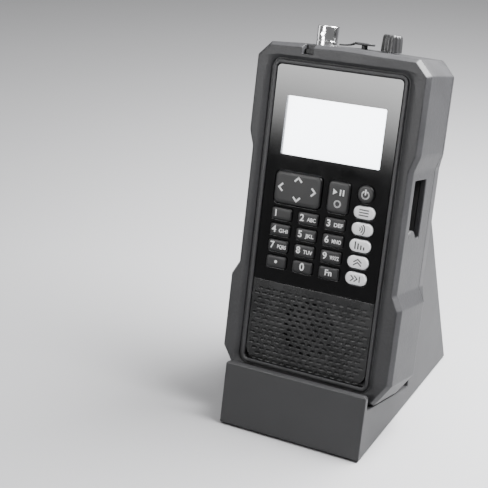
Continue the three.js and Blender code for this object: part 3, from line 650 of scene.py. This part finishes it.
def bay_tools():
    """The port bay and its flared lip, which leave a half-round tongue in the lower front corner."""
    def cutter(name, x0, x1, spread0, spread1):
        bm = bmesh.new()
        a = [bm.verts.new((x0, p[0], p[1])) for p in bay_outline(spread0)]
        b = [bm.verts.new((x1, p[0], p[1])) for p in bay_outline(spread1)]
        skin(bm, a, b)
        bm.faces.new(a)
        bm.faces.new(list(reversed(b)))
        return finished(name, bm)

    deep = cutter("deep", BAY["floor"], BAY["floor"] + 12, 0, 0)
    return deep, cutter("lip", *BAY_LIP, -0.05, 0.55)


def bay_outline(spread):
    """The bay in y and z: a rectangle less the tongue's disc, with every edge moved out by spread."""
    y, z = TONGUE["y"], TONGUE["z"]
    reach = TONGUE["r"] - spread
    front = BAY["y0"] - spread
    back = BAY["y1"] + spread
    bottom = BAY["z0"] - spread
    top = BAY["z1"] + spread
    start = math.acos((front - y) / reach) if abs(front - y) < reach else math.pi
    end = math.asin((bottom - z) / reach)
    steps = 16
    disc = []
    for step in range(steps + 1):
        angle = start + (end - start) * step / steps
        disc.append(Vector((y + reach * math.cos(angle), z + reach * math.sin(angle))))
    corners = [(*corner, BAY["corner"]) for corner in ((back, bottom), (back, top), (front, top))]
    ends = [(disc[-1].x, disc[-1].y, 0), *corners, (disc[0].x, disc[0].y, 0)]
    return disc[1:-1] + rounded(ends)


def build_rear_case():
    shell = case_block("bumper_rear", 0)
    front_half = block("front_half", -BEYOND, BEYOND, -10, SPLIT + GAP, -10, 150)
    combine(shell, front_half, "DIFFERENCE")
    hollow = case_block("hollow", WALL)
    combine(hollow, block("keep", -BEYOND, BEYOND, 20, HOLLOW_BACK, -10, 150), "INTERSECT")
    combine(shell, hollow, "DIFFERENCE")
    door_recess = block("door_recess", -DOOR["x"], DOOR["x"], DOOR["y"], CASE_DEPTH + 1, -1, DOOR["z"])
    combine(shell, door_recess, "DIFFERENCE")
    mouth = block("mouth", -TRAY_MOUTH["x"], TRAY_MOUTH["x"], TRAY_MOUTH["y"], CASE_DEPTH - 1,
                  TRAY_MOUTH["z0"], TRAY_MOUTH["z1"])
    combine(shell, mouth, "DIFFERENCE")
    for side in (-1, 1):
        centre = (side * CASE_SCREW["x"], 0, CASE_SCREW["z"])
        for radius, y in ((CASE_SCREW["shank"], 25), (CASE_SCREW["head"], CASE_SCREW["head_y"])):
            combine(shell, peg(radius, y, 45, centre, "Y"), "DIFFERENCE")
    for side in (-1, 1):
        centre = (side * CLIP_SCREW["x"], 0, CLIP_SCREW["z"])
        combine(shell, peg(CLIP_SCREW["shank"], 25, 45, centre, "Y"), "DIFFERENCE")
    return shell


dress(place(build_front_case()), "case_rubber", "radio", "front_case")
dress(place(build_rear_case()), "case_rubber", "radio", "rear_case")

# ------------------------------ keys

KEY_COLUMNS = (-17.05, -5.6, 5.85)
KEY_ROWS = (67.1, 60.7, 54.3, 47.9)
KEY_LABELS = ("1", "2", "3", "4", "5", "6", "7", "8", "9", "dot", "0", "fn")
KEY_LETTERS = ("", "ABC", "DEF", "GHI", "JKL", "MNO", "PQRS", "TUV", "WXYZ")
SIDE_ROWS = {
    "menu_key": 73.5, "scan_key": 67.1, "attenuator_key": 60.7, "priority_key": 54.3,
    "skip_key": 47.9,
}
SIDE_KEY_X = 17.2
# Key faces: width, height, corner radius. The single keys have their centre in x and z first.
NUMBER_KEY = (8.8, 4.8, 1.1)
SIDE_KEY = (8.7, 4.8, 2.39)
DPAD = (-11.4, 77.6, 20, 12.6, 2)
SELECT = (6, 77.5, 9.2, 12.2, 1.6)
POWER = (17, 80.6, 6.8, 6.8, 3.39)
KEY_CLEARANCE = 0.3
DPAD_CLEARANCE = 0.5
KEY_FRONT = 0.2
SIDE_KEY_FRONT = 0.5
KEY_BACK = 4.2
DPAD_BACK = 3.4
INK_HALF = 0.02
INK_WEIGHT = 0.022
DIGIT = {"dx": -2.4, "size": 3.7}
LETTERS = {"dx": 1.75, "dz": -0.3, "size": 2.1, "width": 3.9}


def key_outline(x, z, w, h, r):
    return rectangle(x - w / 2, x + w / 2, z - h / 2, z + h / 2, r)


def key_cap(name, outline, back=KEY_BACK, crown=0.12, edge=0.38, front=KEY_FRONT):
    """A cap with a softly crowned face: its rings close in from a rounded edge."""
    layers = []
    for share in (1.0, 0.62, 0.3):
        depth = front + crown * (1 - share) * 0.4
        layers.append((depth, rounded(inset(outline, edge + share * 0.9))))
    for depth, share in ((0.06, 1), (0.16, 0.45), (0.38, 0.08), (0.6, 0)):
        layers.append((front + depth, rounded(inset(outline, edge * share))))
    layers.append((back, rounded(outline)))
    return loft(name, layers, smooth_angle=50)


def legend(name, text, x, z, size, width=None):
    """Raised ink in the shape of text, centred on a point of a key's face, squeezed to a width."""
    curve = bpy.data.curves.new(name, "FONT")
    curve.body = text
    curve.size = size
    curve.align_x = "CENTER"
    curve.align_y = "CENTER"
    curve.offset = INK_WEIGHT * size
    curve.extrude = INK_HALF
    source = new_object(name, curve)
    mesh = evaluated_mesh(source)
    bpy.data.objects.remove(source)
    if width:
        reach = max(abs(v.co.x) for v in mesh.vertices)
        mesh.transform(Matrix.Scale(width / 2 / reach, 4, (1, 0, 0)))
    mesh.transform(Matrix.Translation((x, KEY_FRONT, z)) @ Matrix.Rotation(math.pi / 2, 4, "X"))
    obj = new_object(name, mesh)
    obj.data.materials.clear()
    obj.data.materials.append(LEGEND)
    return obj


def ink(bm, corners, y):
    """A thin raised patch with the given corners in x and z, counter-clockwise."""
    front = [bm.verts.new((c[0], y - INK_HALF, c[1])) for c in corners]
    back = [bm.verts.new((c[0], y + INK_HALF, c[1])) for c in corners]
    bm.faces.new(front)
    bm.faces.new(list(reversed(back)))
    skin(bm, front, back)


def patch(name, corners):
    bm = bmesh.new()
    ink(bm, corners, KEY_FRONT)
    obj = finished(name, bm)
    obj.data.materials.append(LEGEND)
    return obj


def stroke(name, points, width, y=KEY_FRONT, material=LEGEND):
    """A thin raised line of ink through points in x and z."""
    bm = bmesh.new()
    path = [Vector(p) for p in points]
    for a, b in zip(path, path[1:]):
        ahead = (b - a).normalized() * width
        along = ahead * 0.45
        across = Vector((-ahead.y, ahead.x)) / 2
        ink(bm, [a - along - across, b + along - across, b + along + across, a - along + across], y)
    obj = finished(name, bm)
    obj.data.materials.append(material)
    return obj


def arc(x, z, radius, start, end, steps):
    points = []
    for i in range(steps + 1):
        angle = math.radians(start + (end - start) * i / steps)
        points.append((x + radius * math.cos(angle), z + radius * math.sin(angle)))
    return points


def with_marks(cap, marks, slot, body, *nodes):
    cap.data.materials.append(SLOTS[slot])
    dress(place(joined(cap, marks)), slot, body, *nodes)


def build_number_keys():
    for i, label in enumerate(KEY_LABELS):
        x = KEY_COLUMNS[i % 3]
        z = KEY_ROWS[i // 3]
        node = f"key_{label}"
        cap = key_cap(f"cap_{label}", key_outline(x, z, *NUMBER_KEY))
        mark = f"mark_{label}"
        if label == "dot":
            marks = [patch(mark, arc(x, z, 0.62, 0, 337.5, 15))]
        elif label == "fn":
            marks = [legend(mark, "Fn", x, z, 3.3)]
        elif label == "0":
            marks = [legend(mark, label, x, z, 4.1)]
        else:
            marks = [legend(mark, label, x + DIGIT["dx"], z, DIGIT["size"])]
            if KEY_LETTERS[i]:
                marks.append(legend(f"letters_{label}", KEY_LETTERS[i], x + LETTERS["dx"],
                                    z + LETTERS["dz"], LETTERS["size"], LETTERS["width"]))
        with_marks(cap, marks, "key_black", node, node)


def side_marks(node, x, z):
    """A plain dark symbol for each of the light grey keys."""
    def line(points, width=0.46):
        return stroke(node + "_line", points, width, SIDE_KEY_FRONT, material=DARK_LEGEND)

    if node == "menu_key":
        return [line([(x - 1.8, z + d), (x + 1.8, z + d)]) for d in (-1.05, 0, 1.05)]
    if node == "scan_key":
        return [line(arc(x - 1.3, z, r, -45, 45, 8), 0.42) for r in (0.7, 1.6, 2.5)]
    if node == "attenuator_key":
        bars = ((-1.8, 2.4), (-0.6, 1.8), (0.6, 1.2), (1.8, 0.7))
        return [line([(x + d, z - 1.1), (x + d, z - 1.1 + h)], 0.6) for d, h in bars]
    if node == "priority_key":
        return [line([(x - 1.5, z + d), (x, z + d + 1.1), (x + 1.5, z + d)]) for d in (-1.1, 0.1)]
    arrows = [line([(x + d, z + 1), (x + d + 1.1, z), (x + d, z - 1)]) for d in (-1.9, -0.4)]
    return [*arrows, line([(x + 1.7, z - 1), (x + 1.7, z + 1)])]


def build_side_keys():
    for node, z in SIDE_ROWS.items():
        cap = key_cap(f"pill_{node}", key_outline(SIDE_KEY_X, z, *SIDE_KEY), front=SIDE_KEY_FRONT)
        with_marks(cap, side_marks(node, SIDE_KEY_X, z), "key_grey", node, node)


def build_dpad():
    pad = key_cap("direction_pad", key_outline(*DPAD), DPAD_BACK, crown=0.3, edge=0.5)
    chevrons = []
    for dx, dz, ux, uz in ((-7.4, 0, -1, 0), (7, 0, 1, 0), (0, 4, 0, 1), (0, -4, 0, -1)):
        tip = Vector((DPAD[0] + dx + ux * 0.6, DPAD[1] + dz + uz * 0.6))
        side = Vector((uz, ux))
        back = Vector((ux, uz))
        points = [tip - back * 1.35 + side * 1.3, tip, tip - back * 1.35 - side * 1.3]
        chevrons.append(stroke("chevron", points, 0.72))
    with_marks(pad, chevrons, "key_black", "dpad", "dpad")


def build_select_key():
    x, z = SELECT[:2]
    cap = key_cap("select_cap", key_outline(*SELECT), edge=0.45)
    play = patch("play", [(x - 2.3, z + 0.8), (x - 0.5, z + 2), (x - 2.3, z + 3.2)])
    bars = [stroke("pause", [(x + d, z + 2.9), (x + d, z + 1.1)], 0.6) for d in (0.8, 2.05)]
    ring = stroke("select_ring", arc(x, z - 2.5, 1.2, 0, 360, 24), 0.55)
    with_marks(cap, [play, *bars, ring], "key_black", "select_key", "select_key")


def build_power_key():
    x, z = POWER[:2]
    cap = key_cap("power_cap", key_outline(*POWER))
    circle = stroke("power_ring", arc(x, z - 0.3, 1.4, 122, 418, 24), 0.55)
    line = stroke("power_line", [(x, z - 0.1), (x, z + 1.6)], 0.55)
    with_marks(cap, [circle, line], "key_black", "power_key", "power_key")


build_number_keys()
build_side_keys()
build_dpad()
build_select_key()
build_power_key()

# ------------------------------ front face

PANEL = {"x": 26.2, "z0": 39.9, "z1": 124.7, "y0": 1, "y1": 2.8}
GRILLE = {"z0": 6.7, "z1": 39.6, "middle": 1.5}
SLOT = {"width": 2.1, "open": 0.95, "blind": 0.85, "corner": 0.3}
# A blind slot's floor: half its width, its low edge below the slot's middle, its rise and front.
DIMPLE = {"half": 0.95, "drop": 0.42, "rise": 0.82, "front": 1.04}
SLOT_PITCH = 3.2
SLOT_ROWS = 15
ROW_PITCH = 2.05
FIRST_ROW = 36.2
SPEAKER_Z = 23.7
OPEN_RADIUS = 10.6
SPEAKER_HOLE = 11.1


def build_face_panel():
    x, z0, z1 = PANEL["x"], PANEL["z0"], PANEL["z1"]
    outline = rounded([(-x, z0, 0.4), (x, z0, 0.4), (x, z1, 1.7), (-x, z1, 1.7)])
    window = rectangle(-WINDOW["x"], WINDOW["x"], WINDOW["z0"], WINDOW["z1"], 0.6)
    keys = [key_outline(KEY_COLUMNS[i % 3], KEY_ROWS[i // 3], *NUMBER_KEY) for i in range(12)]
    keys += [key_outline(SIDE_KEY_X, z, *SIDE_KEY) for z in SIDE_ROWS.values()]
    keys += [key_outline(*POWER), key_outline(*SELECT)]
    holes = [window, *(grown(key, KEY_CLEARANCE) for key in keys)]
    holes.append(grown(key_outline(*DPAD), DPAD_CLEARANCE))
    return plate("gloss_face", outline, PANEL["y0"], PANEL["y1"], [rounded(hole) for hole in holes],
                 bevel=0.06, segments=1, smooth_angle=10)


def build_speaker_grille():
    """Rows of slots: open before the loudspeaker, blind dimples everywhere else."""
    x, z0, z1, middle = PANEL["x"], GRILLE["z0"], GRILLE["z1"], GRILLE["middle"]
    outline = rounded([(-x, z0, 5), (x, z0, 5), (x, z1, 0.4), (-x, z1, 0.4)])
    slots = []
    blind = []
    for row in range(SLOT_ROWS):
        z = FIRST_ROW - row * ROW_PITCH
        shift = SLOT_PITCH / 2 if row % 2 else 0.0
        for column in range(-8, 9):
            x = column * SLOT_PITCH + shift
            low_corner = z < 11 and abs(x) > 23
            if abs(x) >= 25 or low_corner:
                continue
            kind = "open" if math.hypot(x, z - SPEAKER_Z) < OPEN_RADIUS else "blind"
            slots.append(rounded(key_outline(x, z, SLOT["width"], SLOT[kind], SLOT["corner"]), 4))
            if kind == "blind":
                blind.append((x, z - DIMPLE["drop"]))
    front = plate("grille_front", outline, PANEL["y0"], middle, slots, bevel=0.1, smooth_angle=10)
    hole = arc(0, SPEAKER_Z, SPEAKER_HOLE, 0, 352.5, 47)
    backing = plate("grille_backing", outline, middle, PANEL["y1"], [hole], bevel=0.1, segments=1)
    return joined(front, [backing, dimple_floors(blind)])


def dimple_floors(places):
    """In each blind slot a floor that slopes back and up, so it catches light from above."""
    bm = bmesh.new()
    back, half = GRILLE["middle"], DIMPLE["half"]
    for x, z in places:
        side = ((DIMPLE["front"], z), (back, z), (back, z + DIMPLE["rise"]))
        left = [bm.verts.new((x - half, y, height)) for y, height in side]
        right = [bm.verts.new((x + half, y, height)) for y, height in side]
        bm.faces.new(left)
        bm.faces.new(list(reversed(right)))
        skin(bm, left, right)
    return finished("dimple_floors", bm)


def build_speaker_cloth():
    """Dark cloth seen through the open slots, slightly dished."""
    rim = SPEAKER_HOLE + 0.1
    profile = [(0, 3.0), (6, 3.0), (rim, 2.95), (rim, 3.15), (0, 3.2)]
    return turned("speaker_cloth", profile, (0, 0, SPEAKER_Z), "Y")


dress(place(build_face_panel()), "gloss_panel", "radio", "face_panel")
dress(place(build_speaker_grille()), "grille_plastic", "radio", "speaker_grille")
dress(place(build_speaker_cloth()), "cover_rubber", "radio")

# ------------------------------ top end and side port

KNOB_BASE = 133.62
LUG_Z = 137.6
COVER = {"z": 135, "half_width": 3.9, "half_height": 2.8, "corner": 2.2}
STRAP = {"start": (-7.6, 134.25), "bend": (-2.6, 134.3), "end": (-1.5, 135.5), "half": 0.33}
CONTACTS = {"y": 12, "half": 0.35, "z0": 73.9, "z1": 79.1, "x0": 25.5, "x1": 28}


def build_antenna_jack():
    """A flanged barrel with a groove round it, an open mouth and two locking lugs."""
    barrel = turned("antenna_socket", [
        (0, 122), (5.4, 122), (5.4, 130.3), (4.3, 130.35), (4.3, 134.9), (4.12, 135.05),
        (4.12, 135.35), (4.3, 135.5), (4.3, 140.45), (4.22, 140.65), (4.0, 140.8), (3.2, 140.8),
        (3.0, 140.6), (3.0, 134.4), (0, 134.4),
    ], (SOCKET_X, TOP_Y, 0), sides=72)
    for side in (-1, 1):
        lug = turned("lug", [(0, 3.6), (0.95, 3.6), (0.95, 4.85), (0.75, 5.05), (0, 5.05)],
                     (0, 0, 0), "Y", sides=24)
        if side < 0:
            lug.data.transform(Matrix.Rotation(math.pi, 4, "Z"))
        lug.data.transform(Matrix.Translation((SOCKET_X, TOP_Y, LUG_Z)))
        joined(barrel, [lug])
    return barrel


def build_volume_knob():
    """A fluted knob, lofted from its bore's closed end round its skirt to its dished top."""
    flutes = 14
    steps = 8
    layers = []

    def outline(radius, depth):
        points = []
        for i in range(flutes * steps):
            angle = 2 * math.pi * i / (flutes * steps)
            wave = 0.5 + 0.5 * math.cos(angle * flutes)
            reach = radius - depth * wave ** 2
            points.append((reach * math.cos(angle), reach * math.sin(angle)))
        return points

    for radius, depth, height in (
        (1.8, 0, 4.75), (1.8, 0, 0), (3.8, 0.1, 0), (4.02, 0.2, 0.1), (4.05, 0.34, 0.4),
        (4.0, 0.36, 2), (3.84, 0.36, 5.0), (3.76, 0.32, 5.6), (3.6, 0.18, 6.15), (3.3, 0.04, 6.45),
        (2.9, 0, 6.56), (2.6, 0, 6.5), (2.3, 0, 6.42),
    ):
        layers.append((-height, outline(radius, depth)))
    knob = loft("volume_dial", layers, smooth_angle=50)
    upright = Matrix.Rotation(-math.pi / 2, 4, "X")
    knob.data.transform(Matrix.Translation((KNOB_X, TOP_Y, KNOB_BASE)) @ upright)
    return knob


def build_jack_cover():
    stem = turned("jack_plug", [
        (0, 128), (0.9, 128), (1.2, 128.4), (1.2, 133.8), (1.15, 135.3), (0, 135.3),
    ], (COVER_X, TOP_Y, 0), sides=32)
    w, h = COVER["half_width"], COVER["half_height"]
    outline = rounded(rectangle(-w, w, -h, h, COVER["corner"]))
    flap = plate("tongue", outline, 0.02, 1.05, bevel=0.35, segments=4)
    lie_flat = Matrix.Rotation(math.pi / 2, 4, "X")
    flap.data.transform(Matrix.Translation((COVER_X, TOP_Y, COVER["z"])) @ lie_flat)
    return joined(stem, [flap])


def build_usb_tongue():
    """The flat contact carrier inside the port, drawn facing front and swung to face right."""
    y, half = CONTACTS["y"], CONTACTS["half"]
    outline = rounded(rectangle(y - half, y + half, CONTACTS["z0"], CONTACTS["z1"], 0.2), 3)
    tongue = plate("usb_tongue", outline, CONTACTS["x0"], CONTACTS["x1"], bevel=0.08)
    tongue.data.transform(Matrix(((0, 1, 0, 0), (1, 0, 0, 0), (0, 0, 1, 0), (0, 0, 0, 1))))
    tongue.data.flip_normals()
    return tongue


def build_strap():
    """A flat ribbon along one curve from the case's top to just short of the cover."""
    start, bend, end = (Vector(STRAP[key]) for key in ("start", "bend", "end"))
    steps = 14
    path = []
    for i in range(steps + 1):
        t = i / steps
        path.append(start * (1 - t) ** 2 + bend * 2 * t * (1 - t) + end * t ** 2)
    half = Vector((0, STRAP["half"]))
    ribbon = [tuple(point - half) for point in path] + [tuple(point + half) for point in reversed(path)]
    return plate("plug_strap", ribbon, TOP_Y - 1.1, TOP_Y + 1.1, bevel=0.12)


dress(place(build_antenna_jack()), "chrome_socket", "radio", "antenna_jack")
dress(place(build_volume_knob()), "knob_plastic", "volume_knob", "volume_knob")
dress(place(build_jack_cover()), "cover_rubber", "jack_cover", "jack_cover")
dress(place(build_strap()), "cover_rubber", "radio", "jack_cover_strap")
dress(place(build_usb_tongue()), "bay_plastic", "radio")

# ------------------------------ desk stand

STAND_HALF = 30.7
STAND_WALL = 3
REST = CASE_DEPTH + GAP
REST_TOP = 68.9
REAR_EDGE = (80.4, 5.4)
LIP = {"front": -6.2, "back": -3.8, "top": 5.5, "shoulder": 3.6, "round": 2}


def build_stand():
    """The wedge, drawn as a side profile in the radio's y and z, with every edge rounded."""
    foot_low, foot_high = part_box("desk_stand")
    floor = foot_low.z
    to_radio = to_frame.inverted()
    sideways = Matrix.Rotation(math.pi / 2, 4, "Z")

    def at(y, z):
        point = to_radio @ Vector((0, y, z))
        return point.y, point.z

    profile = [
        (*at(foot_low.y, floor), 0.8), (*at(foot_high.y, floor), 0.8), (*REAR_EDGE, 0.6),
        (REST + 1.5, REST_TOP, 0.9), (REST, REST_TOP, 0.5), (REST, -GAP, 0.5),
        (LIP["back"], -GAP, 0.5), (LIP["back"], LIP["top"], 0.9), (LIP["front"], LIP["top"], 1.1),
    ]
    stand = plate("wedge_stand", rounded(profile), -STAND_HALF, STAND_HALF, bevel=0.5, segments=3)
    stand.data.transform(sideways)

    front = foot_low.y + 3.6 * MM
    rear = foot_high.y - 3.3 * MM
    behind = REST + STAND_WALL
    below = -GAP - STAND_WALL
    inside = [Vector(point) for point in (
        at(front, floor - 5 * MM), at(rear, floor - 5 * MM), at(rear, floor + 2.6 * MM),
        (behind, 61), (behind, below), (-3.2, below), at(front, floor + 2 * MM),
    )]
    reach = STAND_HALF - STAND_WALL
    hollow = loft("stand_hollow", [(-reach, inside), (reach, inside)])
    hollow.data.transform(sideways)
    combine(stand, hollow, "DIFFERENCE")
    for side in (-1, 1):
        combine(stand, lip_corner(side), "DIFFERENCE")
    return stand


def lip_corner(side):
    """What a rounded corner takes off the lip's top, at its left or right end."""
    r, shoulder = LIP["round"], LIP["shoulder"]
    edge = side * STAND_HALF
    above = LIP["top"] + 1
    corner = [(edge + side, above), (edge + side, shoulder)]
    for degrees in range(0, 91, 10):
        angle = math.radians(degrees)
        corner.append((edge - side * r * (1 - math.cos(angle)), shoulder + r * math.sin(angle)))
    corner.append((edge - side * r, above))
    return loft("lip_corner", [(-8, corner), (-2.5, corner)])


dress(place(build_stand()), "stand_plastic", "stand", "desk_stand")

# ------------------------------ floor, light and camera

def build_floor():
    bm = bmesh.new()
    bmesh.ops.create_grid(bm, x_segments=1, y_segments=1, size=4)
    mesh = bpy.data.meshes.new("floor")
    bm.to_mesh(mesh)
    bm.free()
    floor = new_object("floor", mesh)
    material = bpy.data.materials.new("floor")
    material.use_nodes = True
    shader = material.node_tree.nodes["Principled BSDF"]
    shader.inputs["Base Color"].default_value = (0.4, 0.4, 0.41, 1)
    shader.inputs["Roughness"].default_value = 0.6
    floor.data.materials.append(material)


def direction(azimuth, elevation):
    """Unit vector towards a place seen from the object; azimuth 0 is in front, 90 to the right."""
    az = math.radians(azimuth)
    el = math.radians(elevation)
    return Vector((math.sin(az) * math.cos(el), -math.cos(az) * math.cos(el), math.sin(el)))


def area_light(name, azimuth, elevation, distance, size, power, aim=(0, 0, 0.07)):
    """A soft box that faces the aim."""
    light = bpy.data.lights.new(name, "AREA")
    light.shape = "RECTANGLE"
    light.size, light.size_y = size
    light.energy = power
    obj = bpy.data.objects.new(name, light)
    bpy.context.scene.collection.objects.link(obj)
    away = direction(azimuth, elevation)
    obj.location = Vector(aim) + away * distance
    obj.rotation_euler = away.to_track_quat("Z", "Y").to_euler()


def build_reflector(azimuth, distance, width, z_dark, z_bright, z_top, strength):
    """A tall soft box, seen only in shiny surfaces, whose light fades out towards its lower edge."""
    bm = bmesh.new()
    half = width / 2
    corners = [(-half, 0, z_dark), (half, 0, z_dark), (half, 0, z_top), (-half, 0, z_top)]
    bm.faces.new([bm.verts.new(corner) for corner in corners])
    mesh = bpy.data.meshes.new("reflector")
    bm.to_mesh(mesh)
    bm.free()
    mesh.transform(Matrix.Rotation(math.radians(azimuth), 4, "Z"))
    mesh.transform(Matrix.Translation(direction(azimuth, 0) * distance))
    panel = new_object("reflector", mesh)
    panel.visible_camera = False
    panel.visible_diffuse = False
    material = bpy.data.materials.new("reflector")
    material.use_nodes = True
    tree = material.node_tree
    tree.nodes.remove(tree.nodes["Principled BSDF"])
    glow = node_of(tree, "ShaderNodeEmission")
    place_of = node_of(tree, "ShaderNodeTexCoord")
    split = node_of(tree, "ShaderNodeSeparateXYZ")
    fade = node_of(tree, "ShaderNodeMapRange", interpolation_type="SMOOTHSTEP")
    fade.inputs["From Min"].default_value = z_dark
    fade.inputs["From Max"].default_value = z_bright
    fade.inputs["To Max"].default_value = strength
    tree.links.new(place_of.outputs["Object"], split.inputs["Vector"])
    tree.links.new(split.outputs["Z"], fade.inputs["Value"])
    tree.links.new(fade.outputs["Result"], glow.inputs["Strength"])
    tree.links.new(glow.outputs["Emission"], tree.nodes["Material Output"].inputs["Surface"])
    panel.data.materials.append(material)


def build_world():
    world = bpy.data.worlds.new("studio")
    world.use_nodes = True
    world.node_tree.nodes["Background"].inputs["Color"].default_value = (1, 1, 1, 1)
    world.node_tree.nodes["Background"].inputs["Strength"].default_value = 0.22
    bpy.context.scene.world = world


CAMERA_AIM = (-0.0241, -0.0335, 0.0760)
CAMERA_AZIMUTH = 30.32
CAMERA_ELEVATION = 24.98
CAMERA_DISTANCE = 0.470
CAMERA_ROLL = -1.74
CAMERA_LENS = 90.16


def build_camera():
    camera = bpy.data.cameras.new("camera")
    camera.lens = CAMERA_LENS
    camera.sensor_width = 36
    camera.clip_start = 0.01
    obj = bpy.data.objects.new("camera", camera)
    bpy.context.scene.collection.objects.link(obj)
    away = direction(CAMERA_AZIMUTH, CAMERA_ELEVATION)
    obj.location = Vector(CAMERA_AIM) + away * CAMERA_DISTANCE
    level = away.to_track_quat("Z", "Y").to_matrix().to_4x4()
    roll = Matrix.Rotation(math.radians(CAMERA_ROLL), 4, "Z")
    obj.matrix_world = Matrix.Translation(obj.location) @ level @ roll
    bpy.context.scene.camera = obj


build_floor()
build_world()
build_reflector(azimuth=-25, distance=1.2, width=0.5, z_dark=0.26, z_bright=0.42, z_top=0.8,
                strength=19)
area_light("key", azimuth=126, elevation=54, distance=0.34, size=(0.3, 0.2), power=10)
area_light("top", azimuth=180, elevation=74, distance=0.8, size=(0.8, 0.5), power=5)
area_light("front", azimuth=-15, elevation=60, distance=0.35, size=(0.3, 0.12), power=0.5,
           aim=(0, -0.02, 0.14))
area_light("rim", azimuth=-95, elevation=25, distance=0.9, size=(0.3, 0.8), power=2)
build_camera()
